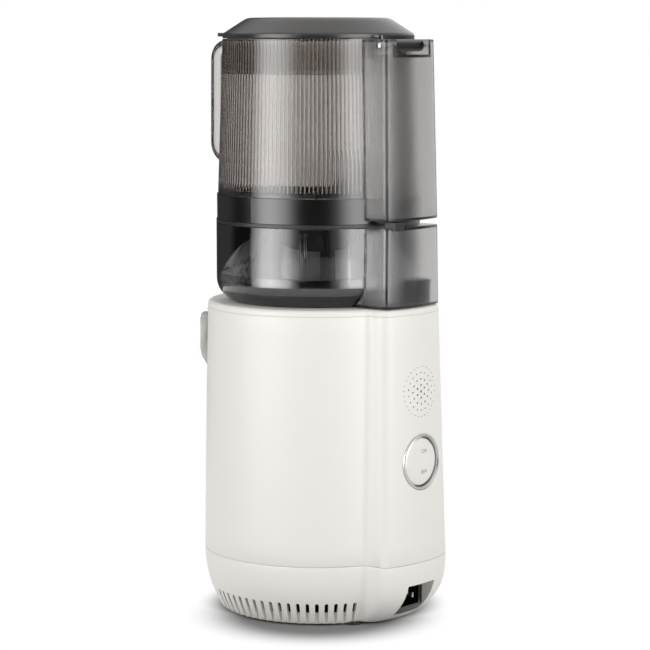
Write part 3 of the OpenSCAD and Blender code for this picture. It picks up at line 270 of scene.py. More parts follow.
def body_plan(round_r, back, half, corner, blend):
    """Closed plan of the round body with its rear pod, from the pod's middle round by +X."""
    points = rounded_back(half, back, corner)
    join = Vector((half + blend, math.sqrt((round_r + blend) ** 2 - (half + blend) ** 2)))
    side = points.pop()
    foot = Vector((half, join.y))
    points += [side.lerp(foot, i / 4) for i in range(4)]
    turn = math.atan2(join.y, join.x)
    points += arc_points(join, blend, math.pi, math.pi + turn, 8)
    points += arc_points((0, 0), round_r, turn, -math.pi / 2, 72)
    mirrored = [Vector((-p.x, p.y)) for p in points[1:]]
    return points + [Vector((0, -round_r))] + mirrored[::-1]


def foot_drop(sizes, z):
    """How far a height lies below the seam: 0 at the seam, 1 at the foot."""
    return (sizes.seam - z) / (sizes.seam - sizes.foot)


def foot_radius(sizes, z):
    """Radius of the round body at a height below the seam."""
    return sizes.round_seam - FOOT_DRAW * foot_drop(sizes, z) ** FOOT_CURVE


def body_ring(sizes, z, inset=0.0):
    """One closed ring of the body's outer form at a height, set in by inset."""
    if z < sizes.seam:
        drop = foot_drop(sizes, z)
        round_r = foot_radius(sizes, z)
        back = sizes.pod_seam - POD_DRAW * drop ** POD_CURVE
        half = sizes.side_seam - SIDE_DRAW * drop ** SIDE_CURVE
    else:
        rise = (z - sizes.seam) / (sizes.body_top + 1.1 * MM - sizes.seam - MM)
        round_r = mix(sizes.round_seam, sizes.round_top, rise) + BELLY * rise * (1 - rise)
        back = mix(sizes.pod_seam, sizes.pod_top, rise)
        half = mix(sizes.side_seam, sizes.side_top, rise)
    plan = body_plan(round_r - inset, back - inset, half - inset, sizes.corner - inset * 0.6, sizes.blend)
    return [Vector((p.x, p.y, z)) for p in plan]


def body_rings(sizes, levels, grow=0.0):
    """Rings of the body's outer form at levels of (height, inset), each inset changed by grow."""
    return [body_ring(sizes, z, inset + grow) for z, inset in levels]


def box_ring(z, inset):
    """Closed ring of a rear cover's plan at a height, out to a flat front inside the drum or tub."""
    corner = max(bpy.context.scene.juicer_hopper.box_corner - inset, 1.2 * MM)
    t = (z - BOX_BACKS[0][0] * MM) / (BOX_BACKS[2][0] * MM - BOX_BACKS[0][0] * MM)
    half = mix(*BOX_HALVES, t) * MM - inset
    (low, near), (high, far) = BOX_BACKS[:2] if z < BOX_BACKS[1][0] * MM else BOX_BACKS[1:]
    back = mix(near, far, (z / MM - low) / (high - low)) * MM - inset
    points = rounded_back(half, back, corner) + [Vector((half, BOX_FRONT))]
    points += [Vector((-p.x, p.y)) for p in points[:0:-1]]
    return [Vector((p.x, p.y, z)) for p in points]


def round_foot(low_r, centre, turn):
    """Profile of a quarter round from flat underside to upright wall, as (radius, height) points."""
    return [(low_r + turn * math.sin(a), centre - turn * math.cos(a))
            for a in (math.pi / 2 * i / 14 for i in range(15))]


def loop_edges(bm, loop):
    """The edges of a closed loop of verts."""
    return [bm.edges.get((a, b)) for a, b in zip(loop, loop[1:] + loop[:1])]


def lift_loop(bm, loop, ring):
    """Extrudes a closed loop of verts and moves the new loop to a ring of points."""
    made = bmesh.ops.extrude_edge_only(bm, edges=loop_edges(bm, loop))["geom"]
    fresh = {g for g in made if isinstance(g, bmesh.types.BMVert)}
    raised = []
    for vert, point in zip(loop, ring):
        top = next(e.other_vert(vert) for e in vert.link_edges if e.other_vert(vert) in fresh)
        top.co = point
        raised.append(top)
    return raised


def skin(bm, rings, capped=False, closed=False):
    """Lofts one closed loop through rings of points; capped closes its ends, closed joins the last to the first."""
    first = bmesh.ops.create_circle(bm, cap_ends=False, radius=1.0, segments=len(rings[0]))["verts"]
    for vert, point in zip(first, rings[0]):
        vert.co = point
    loop = first
    for ring in rings[1:]:
        loop = lift_loop(bm, loop, ring)
    if capped:
        bmesh.ops.contextual_create(bm, geom=loop_edges(bm, first))
        bmesh.ops.contextual_create(bm, geom=loop_edges(bm, loop))
    if closed:
        bmesh.ops.bridge_loops(bm, edges=loop_edges(bm, first) + loop_edges(bm, loop))
    bmesh.ops.recalc_face_normals(bm, faces=bm.faces)


def turned(bm, profile, steps=160, closed=True):
    """Spins a profile of (radius, height) points about the drive axis."""
    verts = [bm.verts.new((r, 0, z)) for r, z in profile]
    pairs = list(zip(verts, verts[1:])) + ([(verts[-1], verts[0])] if closed else [])
    edges = [bm.edges.new(pair) for pair in pairs]
    bmesh.ops.spin(bm, geom=verts + edges, cent=(0, 0, 0), axis=(0, 0, 1), angle=FULL_TURN, steps=steps,
                   use_merge=True)
    bmesh.ops.remove_doubles(bm, verts=bm.verts, dist=1e-6)
    bmesh.ops.recalc_face_normals(bm, faces=bm.faces)


def block(bm, low, high, bevel=0.0, segments=2):
    """A box between two corners, with its edges rounded."""
    made = bmesh.ops.create_cube(bm, size=1.0)["verts"]
    low, high = Vector(low), Vector(high)
    for vert in made:
        vert.co = Vector([mix(low[i], high[i], vert.co[i] + 0.5) for i in range(3)])
    if bevel:
        round_edges(bm, dict.fromkeys(e for v in made for e in v.link_edges), bevel, segments)


def round_edges(bm, edges, width, segments):
    bmesh.ops.bevel(bm, geom=list(edges), offset=width, offset_type="OFFSET", affect="EDGES", segments=segments,
                    profile=0.5, material=-1)


def rod(bm, radius, start, end, segments=32):
    """A capped round rod between two points."""
    start, end = Vector(start), Vector(end)
    turn = (end - start).to_track_quat("Z", "Y").to_matrix().to_4x4()
    bmesh.ops.create_cone(bm, cap_ends=True, segments=segments, radius1=radius, radius2=radius,
                          depth=(end - start).length, matrix=Matrix.Translation((start + end) / 2) @ turn)


def hinge_rod(bm, radius, start, end, segments=32):
    """A rod on the axis of the lid's hinge, from one X to another."""
    rod(bm, radius, (start, HINGE_Y, HINGE_Z), (end, HINGE_Y, HINGE_Z), segments)


def prism(bm, outline, direction):
    """A flat outline of points extruded along a direction."""
    face = bm.faces.new([bm.verts.new(p) for p in outline])
    made = bmesh.ops.extrude_face_region(bm, geom=[face])["geom"]
    bmesh.ops.translate(bm, vec=direction, verts=[g for g in made if isinstance(g, bmesh.types.BMVert)])
    bmesh.ops.recalc_face_normals(bm, faces=bm.faces)


def add_turned(bm, angle, shape, *args):
    """Adds a shape to a bmesh, turned about the drive axis."""
    first = len(bm.verts)
    shape(bm, *args)
    bm.verts.ensure_lookup_table()
    bmesh.ops.rotate(bm, cent=(0, 0, 0), matrix=Matrix.Rotation(angle, 3, "Z"), verts=bm.verts[first:])


def solid(shape, *args, **settings):
    """A new bmesh that holds one shape."""
    bm = bmesh.new()
    shape(bm, *args, **settings)
    return bm


def to_object(bm, name):
    """Makes an object from a bmesh and frees it."""
    mesh = bpy.data.meshes.new(name)
    bm.to_mesh(mesh)
    bm.free()
    piece = bpy.data.objects.new(name, mesh)
    bpy.context.scene.collection.objects.link(piece)
    return piece


def combine(piece, operation, bm):
    """Joins a solid to a piece, or cuts or keeps it, and applies the result."""
    tool = to_object(bm, "tool")
    change = piece.modifiers.new(operation, "BOOLEAN")
    change.operation, change.object, change.solver = operation, tool, "EXACT"
    mesh = bpy.data.meshes.new_from_object(piece.evaluated_get(bpy.context.evaluated_depsgraph_get()))
    piece.modifiers.clear()
    old, piece.data = piece.data, mesh
    bpy.data.meshes.remove(old)
    bpy.data.objects.remove(tool)


def join_inside(piece, bm, outer):
    """Joins to a piece the share of a solid that lies inside an outer form."""
    kept = to_object(bm, "kept")
    combine(kept, "INTERSECT", outer)
    share = bmesh.new()
    share.from_mesh(kept.data)
    bpy.data.objects.remove(kept)
    combine(piece, "UNION", share)


def cut(piece, shape, *args, **settings):
    combine(piece, "DIFFERENCE", solid(shape, *args, **settings))


def join(piece, shape, *args, **settings):
    combine(piece, "UNION", solid(shape, *args, **settings))


def dress(piece, body, slot, *nodes, finish=None, angle=35):
    """Shades a piece, gives it a finish, by default its slot's, ties it to its body and hides the nodes it stands for.
    """
    piece.data.shade_smooth()
    piece.data.set_sharp_from_angle(angle=math.radians(angle))
    piece.data.materials.clear()
    piece.data.materials.append(finishes()[finish or slot])
    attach(piece, body)
    if nodes:
        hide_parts(*nodes)


# ---------------------------------------------------------------- finishes


def feed(tree, node, inputs):
    """Gives a node's inputs their values, or links them to other nodes' sockets."""
    for name, value in inputs.items():
        if isinstance(value, bpy.types.NodeSocket):
            tree.links.new(value, node.inputs[name])
        else:
            node.inputs[name].default_value = value


def add(tree, kind, inputs=None, **settings):
    """Adds a shader node with its settings and inputs."""
    node = tree.nodes.new("ShaderNode" + kind)
    for name, value in settings.items():
        setattr(node, name, value)
    feed(tree, node, inputs or {})
    return node


def step(tree, operation, *sources):
    """The result of a step of arithmetic on values and sockets."""
    return add(tree, "Math", dict(enumerate(sources)), operation=operation).outputs[0]


def place_of(tree):
    """The point being shaded, in the object's own coordinates."""
    return add(tree, "TexCoord").outputs["Object"]


def new_group(name, inputs, outputs):
    """A node group with its sockets, and the sockets of its input and output nodes."""
    tree = bpy.data.node_groups.new(name, "ShaderNodeTree")
    for side, sockets in (("INPUT", inputs), ("OUTPUT", outputs)):
        for label, default in sockets.items():
            kind = "NodeSocketColor" if isinstance(default, tuple) else "NodeSocketFloat"
            made = tree.interface.new_socket(name=label, in_out=side, socket_type=kind)
            if side == "INPUT":
                made.default_value = default
    return tree, tree.nodes.new("NodeGroupInput").outputs, tree.nodes.new("NodeGroupOutput")


def grain_group():
    """Fine moulded or cast grain: a height and a slow drift of roughness."""
    if "Moulded Grain" in bpy.data.node_groups:
        return bpy.data.node_groups["Moulded Grain"]
    tree, given, out = new_group(
        "Moulded Grain", {"Scale": 2500.0, "Roughness": 0.4, "Drift": 0.05}, {"Height": 0.0, "Roughness": 0.0})
    place = place_of(tree)
    fine = add(tree, "TexNoise", {"Vector": place, "Scale": given["Scale"], "Detail": 3.0})
    slow = add(tree, "TexNoise", {"Vector": place, "Scale": 24.0, "Detail": 4.0})
    centred = step(tree, "SUBTRACT", slow.outputs["Fac"], 0.5)
    rough = step(tree, "MULTIPLY_ADD", centred, given["Drift"], given["Roughness"])
    feed(tree, out, {"Height": fine.outputs["Fac"], "Roughness": rough})
    return tree


def tone_group():
    """A slow, slight change of tone over a surface."""
    if "Slow Tone" in bpy.data.node_groups:
        return bpy.data.node_groups["Slow Tone"]
    tree, given, out = new_group(
        "Slow Tone", {"Colour": (0.8, 0.8, 0.8, 1.0), "Darker": (0.7, 0.7, 0.7, 1.0), "Scale": 9.0, "Amount": 0.3},
        {"Colour": (0.8, 0.8, 0.8, 1.0)})
    noise = add(tree, "TexNoise", {"Vector": place_of(tree), "Scale": given["Scale"], "Detail": 5.0})
    share = step(tree, "MULTIPLY", noise.outputs["Fac"], given["Amount"])
    blend = add(tree, "Mix", {"Factor": share, "A": given["Colour"], "B": given["Darker"]}, data_type="RGBA")
    feed(tree, out, {"Colour": blend.outputs["Result"]})
    return tree


def finish_of(name, tint, rough, grain=2500.0, height=0.02, reach=0.1, drift=0.08, metal=0.0, clear=0.0, index=1.5,
              tone=0.25, darker=0.85):
    """A Principled finish whose colour drifts slightly and whose surface has a fine grain."""
    if name in bpy.data.materials:
        return bpy.data.materials[name]
    material = bpy.data.materials.new(name)
    material.use_nodes = True
    tree = material.node_tree
    shader = tree.nodes["Principled BSDF"]
    toned = add(tree, "Group", {"Colour": (*tint, 1.0), "Darker": (*[c * darker for c in tint], 1.0), "Amount": tone},
                node_tree=tone_group())
    grained = add(tree, "Group", {"Scale": grain, "Roughness": rough, "Drift": drift}, node_tree=grain_group())
    feed(tree, shader, {"Metallic": metal, "IOR": index, "Transmission Weight": clear,
                        "Base Color": toned.outputs["Colour"], "Roughness": grained.outputs["Roughness"]})
    if height:
        bump = add(tree, "Bump", {"Strength": height, "Distance": reach * MM, "Height": grained.outputs["Height"]})
        feed(tree, shader, {"Normal": bump.outputs["Normal"]})
    return material


def clear_finish(name, tint, density, rough, **settings):
    """A clear plastic that darkens light by how far it goes through the wall."""
    material = finish_of(name, (0.97, 0.97, 0.97), rough, clear=1.0, tone=0.2, darker=0.97, **settings)
    tree = material.node_tree
    if "Tint in the wall" not in tree.nodes:
        inside = add(tree, "VolumeAbsorption", {"Color": (*tint, 1.0), "Density": density}, name="Tint in the wall")
        feed(tree, tree.nodes["Material Output"], {"Volume": inside.outputs["Volume"]})
    return material


def blend_tint(material, factor, **ends):
    """Blends a finish's own colour with a plain grey, given as the A or the B end of a factor."""
    tree = material.node_tree
    shader = tree.nodes["Principled BSDF"]
    inputs = dict.fromkeys("AB", shader.inputs["Base Color"].links[0].from_socket)
    inputs.update({end: (*[grey] * 3, 1.0) for end, grey in ends.items()}, Factor=factor)
    blend = add(tree, "Mix", inputs, data_type="RGBA")
    feed(tree, shader, {"Base Color": blend.outputs["Result"]})
    return material


def painted_shade_foot(material, low, high, dark):
    """The same finish with painted shade below a height: dark at low, unchanged from high upwards."""
    tree = material.node_tree
    if "Foot" not in tree.nodes:
        split = add(tree, "SeparateXYZ", {"Vector": place_of(tree)})
        share = add(tree, "MapRange", {"Value": split.outputs["Z"], "From Min": low, "From Max": high}, name="Foot")
        blend_tint(material, share.outputs["Result"], A=dark)
    return material


def punched_group():
    """Staggered rows of small round holes round the drive axis, as a mask that is 1 in a hole."""
    tree, given, out = new_group("Punched Rows", {"Radius": 0.06, "Pitch": 0.0026, "Hole": 0.2}, {"Mask": 0.0})
    split = add(tree, "SeparateXYZ", {"Vector": place_of(tree)}).outputs
    turn = step(tree, "ARCTAN2", split["Y"], split["X"])
    along = step(tree, "DIVIDE", step(tree, "MULTIPLY", turn, given["Radius"]), given["Pitch"])
    up = step(tree, "DIVIDE", split["Z"], step(tree, "MULTIPLY", given["Pitch"], ROW_RISE))
    shift = step(tree, "MULTIPLY", step(tree, "MODULO", step(tree, "FLOOR", up), 2.0), 0.5)
    moved = step(tree, "ADD", step(tree, "ADD", along, shift), 1000.0)
    across = step(tree, "SUBTRACT", step(tree, "FRACT", moved), 0.5)
    rise = step(tree, "MULTIPLY", step(tree, "SUBTRACT", step(tree, "FRACT", up), 0.5), ROW_RISE)
    squares = [step(tree, "MULTIPLY", side, side) for side in (across, rise)]
    far = step(tree, "SQRT", step(tree, "ADD", *squares))
    feed(tree, out, {"Mask": step(tree, "LESS_THAN", far, given["Hole"])})
    return tree


def mesh_finish():
    """Punched stainless sheet of the strainer, with painted shade in its holes."""
    if "Punched steel" in bpy.data.materials:
        return bpy.data.materials["Punched steel"]
    material = finish_of("Punched steel", (0.32, 0.32, 0.32), 0.42, grain=1500, height=0.15, reach=0.03, metal=1.0,
                         tone=0.3)
    rows = add(material.node_tree, "Group", node_tree=punched_group())
    # painted shade: near black in each hole, for the dark seen through it
    return blend_tint(material, rows.outputs["Mask"], B=0.02)


def finishes():
    """All the finishes by name: each material slot's own, and the ones that some pieces have in its place."""
    c, foot = bpy.context.scene.juicer_colours, bpy.context.scene.juicer_drum.foot
    frosted = {"grain": 2600, "height": 0.4, "reach": 0.06, "drift": 0.06, "index": 1.52}
    plated = {"grain": 900, "reach": 0.02, "drift": 0.04, "metal": 1.0, "tone": 0.2, "darker": 0.94}
    return {
        "shell": finish_of("Warm white satin", c.shell, 0.45, grain=3000, height=0.12, reach=0.03, tone=0.2,
                           darker=0.96),
        "black": finish_of("Black textured plastic", c.ink, 0.42, grain=1800, height=0.5, reach=0.06, tone=0.6,
                           darker=0.6),
        "band": finish_of("Black satin band", [0.4 * part for part in c.ink], 0.22, grain=1800, height=0.15,
                          reach=0.04, index=1.6),
        "soft": finish_of("Black rubber", c.ink, 0.7, grain=1500, height=0.3, reach=0.05),
        "grey": finish_of("Grey silicone", (0.035, 0.035, 0.038), 0.55, grain=1200, height=0.2, reach=0.04),
        "milky": finish_of("Milky silicone", c.milky, 0.42, grain=1200, height=0.15, reach=0.03, tone=0.2,
                           darker=0.93),
        "smoke": clear_finish("Clear smoked plastic", c.smoke, 190.0, 0.02, height=0.0, drift=0.02),
        "tub": clear_finish("Smoked wall of the tub", c.smoke, 400.0, 0.0, height=0.0, drift=0.0, index=1.56),
        # painted shade: the drum's clear wall darkens towards its foot, in place of the dark seen through it there
        "drum": painted_shade_foot(clear_finish("Dark clear plastic", c.drum_smoke, 210.0, 0.0, height=0.0, drift=0.0,
                                       index=1.76), foot + 7 * MM, foot + 20 * MM, 0.15),
        "frost": clear_finish("Frosted smoked plastic", c.frost, 170.0, 0.2, **frosted),
        "shade": clear_finish("Pale smoked plastic", c.frost, 120.0, 0.2, **frosted),
        "lid": finish_of("Dark smoked lid", c.lid, 0.22, grain=2400, height=0.25, reach=0.04, clear=0.75, tone=0.3,
                         darker=0.8),
        "chrome": finish_of("Satin plate", c.chrome, 0.3, height=0.04, **plated),
        "bezel": finish_of("Brushed ring", [0.58 * part for part in c.chrome], 0.32, height=0.06, **plated),
        "steel": finish_of("Plain steel", c.steel, 0.3, grain=1400, height=0.25, reach=0.03, metal=1.0),
        "cast": finish_of("Cast alloy", (0.5, 0.51, 0.53), 0.48, grain=700, height=0.5, reach=0.1, metal=1.0),
        "copper": finish_of("Wound copper", c.copper, 0.35, grain=900, height=0.6, reach=0.1, metal=1.0),
        "board": finish_of("Coated board", c.board, 0.3, grain=600, height=0.15, reach=0.05),
        "gear": finish_of("Gear plastic", c.gear, 0.4, grain=1500, height=0.15, reach=0.03),
        "legend": finish_of("Legend print", (0.24, 0.23, 0.22), 0.5, height=0.0),
        "mesh": mesh_finish(),
        "brass": finish_of("Sintered bush", c.bush, 0.4, grain=1500, height=0.4, reach=0.04, metal=1.0),
    }


# ---------------------------------------------------------------- pieces


class JUICER_OT_base(bpy.types.Operator):
    """Lower moulding with air slots and the recess of the power inlet"""

    bl_idname = "juicer.base"
    bl_label = "Base moulding"

    def execute(self, context):
        body, control = context.scene.juicer_body, context.scene.juicer_control
        foot, seam = body.foot, body.seam
        levels = [(foot, 0.9 * MM), (foot + 0.3 * MM, 0.35 * MM), (foot + 0.9 * MM, 0.0)]
        levels += [(mix(foot + 0.9 * MM, seam - 0.4 * MM, i / 16), 0.0) for i in range(1, 17)]
        levels.append((seam, 0.1 * MM))
        inner = [body_ring(body, mix(foot, seam, share), body.wall * swell)
                 for share, swell in ((1, 1), (0.7, 1), (0.45, 1.1), (0.3, 1.5), (0.22, 1.8), (0.1, 1.8), (0, 1.6))]
        piece = to_object(solid(skin, body_rings(body, levels) + inner, closed=True), "base_moulding")
        half, low, high, grow = control.inlet_half, control.inlet_foot, control.inlet_top, 1.8 * MM
        liner = solid(block, (-half - grow, control.inlet_panel - 6 * MM, low - grow),
                      (half + grow, OUTSIDE, high + grow))
        join_inside(piece, liner, solid(skin, body_rings(body, levels, LINING_TRIM), capped=True))
        cut(piece, block, (-half, 0.04, low), (half, OUTSIDE, high))
        for shape in (self.slot, self.groove):
            cutters = bmesh.new()
            for side in (1, -1):
                for i in range(SLOT_COUNT):
                    angle = math.radians(SLOT_START - SLOT_PITCH * i)
                    add_turned(cutters, angle if side > 0 else math.pi - angle, shape, body, control)
            combine(piece, "DIFFERENCE", cutters)
        dress(piece, "base", "shell", "base_shell", angle=28)
        return {"FINISHED"}

    def slot(self, bm, _body, control):
        """The upper part of an air slot, cut through the wall, with a round top."""
        half = control.slot / 2
        top, middle = control.slot_top, control.slot_break
        outline = [(-half, middle), (half, middle), (half, top - half)]
        outline += [(half * math.cos(a), top - half + half * math.sin(a))
                    for a in (math.pi * i / 8 for i in range(1, 8))] + [(-half, top - half)]
        prism(bm, [(72 * MM, y, z) for y, z in outline], (30 * MM, 0, 0))

    def groove(self, bm, body, control):
        """The lower part of an air slot, a groove that runs out towards the foot."""
        half, foot, top = control.slot / 2, 0.9 * MM, control.slot_break + 0.05 * MM
        outline = []
        for i in range(6):
            z = mix(foot, top, i / 5)
            outline.append((foot_radius(body, z) - mix(*GROOVE_DEPTHS, i / 5) * MM, -half, z))
        prism(bm, outline + [(0.1, -half, top), (0.1, -half, foot)], (0, 2 * half, 0))


def notch(body, wall=0.0, top=0.26):
    """The space of the spout's notch in the front of the body, grown by a wall."""
    return solid(block, (-body.notch_half - wall, -OUTSIDE, body.notch_floor - wall),
                 (body.notch_half + wall, NOTCH_BACK + wall, top))


class JUICER_OT_body(bpy.types.Operator):
    """Tall body moulding with the dotted vent, the switch opening and the spout's notch"""

    bl_idname = "juicer.body"
    bl_label = "Body moulding"

    def execute(self, context):
        body, control = context.scene.juicer_body, context.scene.juicer_control
        foot, top = body.body_foot, body.body_top
        levels = [(foot, 0.1 * MM)] + [(mix(foot + 0.2 * MM, top - 0.3 * MM, i / 14), 0.0) for i in range(15)]
        levels.append((top, 0.12 * MM))
        inner = [body_ring(body, z, body.wall) for z in (top, mix(foot, top, 0.66), mix(foot, top, 0.33), foot)]
        piece = to_object(solid(skin, body_rings(body, levels) + inner, closed=True), "body_moulding")
        join_inside(piece, notch(body, 2 * MM, top), solid(skin, body_rings(body, levels, LINING_TRIM), capped=True))
        cutters, height = notch(body), control.switch_height
        rod(cutters, control.bezel + 0.2 * MM, (0, 60 * MM, height), (0, OUTSIDE, height), 72)
        combine(piece, "DIFFERENCE", cutters)
        holes = bmesh.new()
        for ring, count in enumerate(DOT_RINGS):
            for i in range(count):
                angle = FULL_TURN * i / count + math.pi / 2
                reach = ring * control.dots_pitch
                x, z = reach * math.cos(angle), control.dots_height + reach * math.sin(angle)
                rod(holes, control.dot * (1 - DOT_SHRINK * ring), (x, 90 * MM, z), (x, OUTSIDE, z), 12)
        combine(piece, "DIFFERENCE", holes)
        dress(piece, "base", "shell", "body_shell", angle=28)
        return {"FINISHED"}


class JUICER_OT_cover(bpy.types.Operator):
    """Top cover with the seat that the drum stands in"""

    bl_idname = "juicer.cover"
    bl_label = "Top cover"

    def execute(self, context):
        body = context.scene.juicer_body
        foot, deck, edge = body.cover_foot, body.deck, 3.4 * MM
        seat = deck - 1.2 * MM
        under = seat - 2.4 * MM
        levels = [(foot, 0.12 * MM), (foot + 0.3 * MM, 0.0)]
        levels += [(deck - edge + edge * math.sin(a), edge - edge * math.cos(a))
                   for a in (math.pi / 2 * i / 8 for i in range(9))]
        inner = body_ring(body, deck, 8 * MM)

        def circle(radius, z):
            return [Vector((*(radius * Vector(p[:2]).normalized()), z)) for p in inner]

        rim = circle(67.4 * MM, deck)
        ledge = [Vector((p.x * 0.995, p.y * 0.995, seat)) for p in rim]
        rings = body_rings(body, levels) + [inner, rim, ledge, circle(11 * MM, seat), circle(11 * MM, under)]
        rings += [body_ring(body, under, 4.6 * MM), body_ring(body, foot, body.wall)]
        piece = to_object(solid(skin, rings, closed=True), "cover_moulding")
        combine(piece, "DIFFERENCE", notch(body))
        dress(piece, "base", "shell", "top_cover", angle=28)
        return {"FINISHED"}


class JUICER_OT_switch(bpy.types.Operator):
    """Plated bezel, and the two generic words on the rocker"""

    bl_idname = "juicer.switch"
    bl_label = "Rocker switch"

    def execute(self, context):
        control = context.scene.juicer_control
        low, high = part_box("switch_bezel")
        height, face = control.switch_height, high.y
        outer, inner = control.bezel, control.bezel - 2.35 * MM
        profile = [(inner, low.y), (outer, low.y), (outer, face - 1.4 * MM), (outer - 0.35 * MM, face - 0.5 * MM),
                   (outer - 1.0 * MM, face - 0.05 * MM), (outer - 1.5 * MM, face),
                   (inner + 0.5 * MM, face - 0.45 * MM), (inner + 0.1 * MM, face - 1.0 * MM), (inner, face - 1.6 * MM)]
        bm = solid(turned, profile, steps=120)
        bmesh.ops.rotate(bm, cent=(0, 0, 0), matrix=Matrix.Rotation(-math.pi / 2, 3, "X"), verts=bm.verts)
        bmesh.ops.translate(bm, vec=(0, 0, height), verts=bm.verts)
        for vert in bm.verts:
            if vert.co.y > face - 2 * MM:
                vert.co.y -= BEZEL_BEND * vert.co.x ** 2
        bmesh.ops.recalc_face_normals(bm, faces=bm.faces)
        dress(to_object(bm, "switch_bezel_ring"), "base", "chrome", "switch_bezel", finish="bezel")
        for word, rise in (("ON", 8.0 * MM), ("REV", -8.0 * MM)):
            self.word(word, height + rise)
        return {"FINISHED"}

    def word(self, word, z):
        """A small word printed on the rocker's crowned face."""
        text = bpy.data.curves.new("legend", "FONT")
        text.body = word
        text.size = 4.3 * MM
        text.align_x, text.align_y = "CENTER", "CENTER"
        text.extrude = 0.05 * MM
        holder = bpy.data.objects.new("legend", text)
        bpy.context.scene.collection.objects.link(holder)
        depsgraph = bpy.context.evaluated_depsgraph_get()
        mesh = bpy.data.meshes.new_from_object(holder.evaluated_get(depsgraph))
        bpy.data.objects.remove(holder)
        turn = Matrix.Rotation(math.pi, 4, "Z") @ Matrix.Rotation(math.pi / 2, 4, "X")
        mesh.transform(Matrix.Translation((-2.6 * MM, 0, z)) @ turn)
        rocker = frame["nodes"]["switch_rocker"]
        for vert in mesh.vertices:
            struck, point = rocker.ray_cast(Vector((vert.co.x, 0.2, vert.co.z)), Vector((0, -1, 0)))[:2]
            if not struck:
                raise RuntimeError("the word " + word + " lies beside the rocker")
            vert.co.y += point.y
        piece = bpy.data.objects.new("legend_" + word.lower(), mesh)
        bpy.context.scene.collection.objects.link(piece)
        dress(piece, "rocker", "black", finish="legend")


class JUICER_OT_drum(bpy.types.Operator):
    """Clear drum with its lip and moulded lugs"""

    bl_idname = "juicer.drum"
    bl_label = "Drum"

    def execute(self, context):
        drum = context.scene.juicer_drum
        r, wall, foot, top, turn = drum.radius, drum.wall, drum.foot, drum.top, drum.rounding
        floor, inner_turn = foot + 3 * MM, turn - wall
        hub, hub_out, hub_top, lip = 9.2 * MM, 12.2 * MM, foot + 14 * MM, 0.5 * MM
        profile = [(hub, foot)] + round_foot(r - turn, foot + turn, turn)
        profile += [(r, top - lip), (r - lip * 0.3, top - lip * 0.3), (r - lip, top), (r - wall + lip, top),
                    (r - wall, top - lip)] + round_foot(r - turn, floor + inner_turn, inner_turn)[::-1]
        profile += [(hub_out, floor), (hub_out, hub_top), (hub, hub_top)]
        piece = to_object(solid(turned, profile), "drum_shell")
        spouts = solid(block, (-12.5 * MM, -76.5 * MM, foot - 5 * MM), (12.5 * MM, -62.5 * MM, foot + 7 * MM))
        add_turned(spouts, PULP_HEADING, block, (60 * MM, -12.1 * MM, foot + 8.4 * MM),
                   (100 * MM, 12.1 * MM, foot + 28.6 * MM))
        combine(piece, "DIFFERENCE", spouts)
        ribs = bmesh.new()
        for heading in RIB_HEADINGS:
            add_turned(ribs, math.radians(heading), block, (r - wall - 1.4 * MM, -0.7 * MM, foot + 38 * MM),
                       (r - wall + 0.4 * MM, 0.7 * MM, top - 6 * MM), 0.35 * MM)
        combine(piece, "UNION", ribs)
        dress(piece, "drum", "smoke", "drum_bowl", finish="drum", angle=50)
        return {"FINISHED"}


class JUICER_OT_rear_covers(bpy.types.Operator):
    """Frosted covers behind the drum and behind the hopper"""

    bl_idname = "juicer.rear_covers"
    bl_label = "Rear covers"

    def execute(self, context):
        drum, hopper = context.scene.juicer_drum, context.scene.juicer_hopper
        low = self.case("drum_rear_case", drum.cover_foot, drum.cover_top, drum.cover_wall)
        low_r, turn, under, over = drum.radius - drum.rounding, drum.rounding, drum.foot - 20 * MM, 0.34
        profile = [(0, under), (low_r, under)] + round_foot(low_r, drum.foot + turn, turn + FIT)[1:]
        profile += [(drum.radius + FIT, over), (0, over)]
        cut(low, turned, profile, closed=False)
        cut(low, block, (15.2 * MM, 84.4 * MM, 302.1 * MM), (26.8 * MM, 105 * MM, 312 * MM))
        dress(low, "drum", "frost", "drum_rear_cover", finish="shade", angle=30)

        high = self.case("hopper_rear_case", hopper.box_foot, hopper.box_top, drum.cover_wall)
        pocket = solid(block, (-22.5 * MM, 72.6 * MM, 431.0 * MM), (22.5 * MM, 98 * MM, 444.4 * MM))
        ends = [box_ring(z, 0.2 * MM) for z in (hopper.box_foot, hopper.box_top)]
        join_inside(high, pocket, solid(skin, ends, capped=True))
        cut(high, block, (-20.3 * MM, 74.8 * MM, 433.2 * MM), (20.3 * MM, 0.115, ABOVE))
        ring_r, tub_r, rim_r, under = 79.1 * MM, hopper.tub_low + FIT, hopper.tub_high + FIT, 0.29
        profile = [(0, under), (ring_r, under), (ring_r, hopper.tub_foot), (tub_r, hopper.tub_foot),
                   (rim_r, hopper.tub_top), (rim_r, ABOVE), (0, ABOVE)]
        cut(high, turned, profile, closed=False)
        for side in (-1, 1):
            join(high, hinge_rod, 3.5 * MM, side * 27.0 * MM, side * 29.3 * MM, 40)
        cut(high, hinge_rod, 2.1 * MM, -0.06, 0.06)
        dress(high, "hopper", "frost", "hopper_rear_cover", angle=30)
        return {"FINISHED"}

    def case(self, name, foot, top, wall):
        """A hollow case with rounded corners, open towards the front."""
        edge = 0.7 * MM
        levels = [(foot, edge), (foot + edge * 0.3, edge * 0.3), (foot + edge, 0.0)]
        levels += [(mix(foot + edge, top - edge, i / 6), 0.0) for i in range(1, 7)]
        levels += [(top - edge * 0.3, edge * 0.3), (top, edge)]
        piece = to_object(solid(skin, [box_ring(z, inset) for z, inset in levels], capped=True), name)
        rings = [box_ring(mix(foot + wall, top - wall, i / 6), wall) for i in range(7)]
        for point in (p for ring in rings for p in ring):
            if point.y < BOX_FRONT + MM:
                point.y = BOX_FRONT - 10 * MM
        cut(piece, skin, rings, capped=True)
        return piece


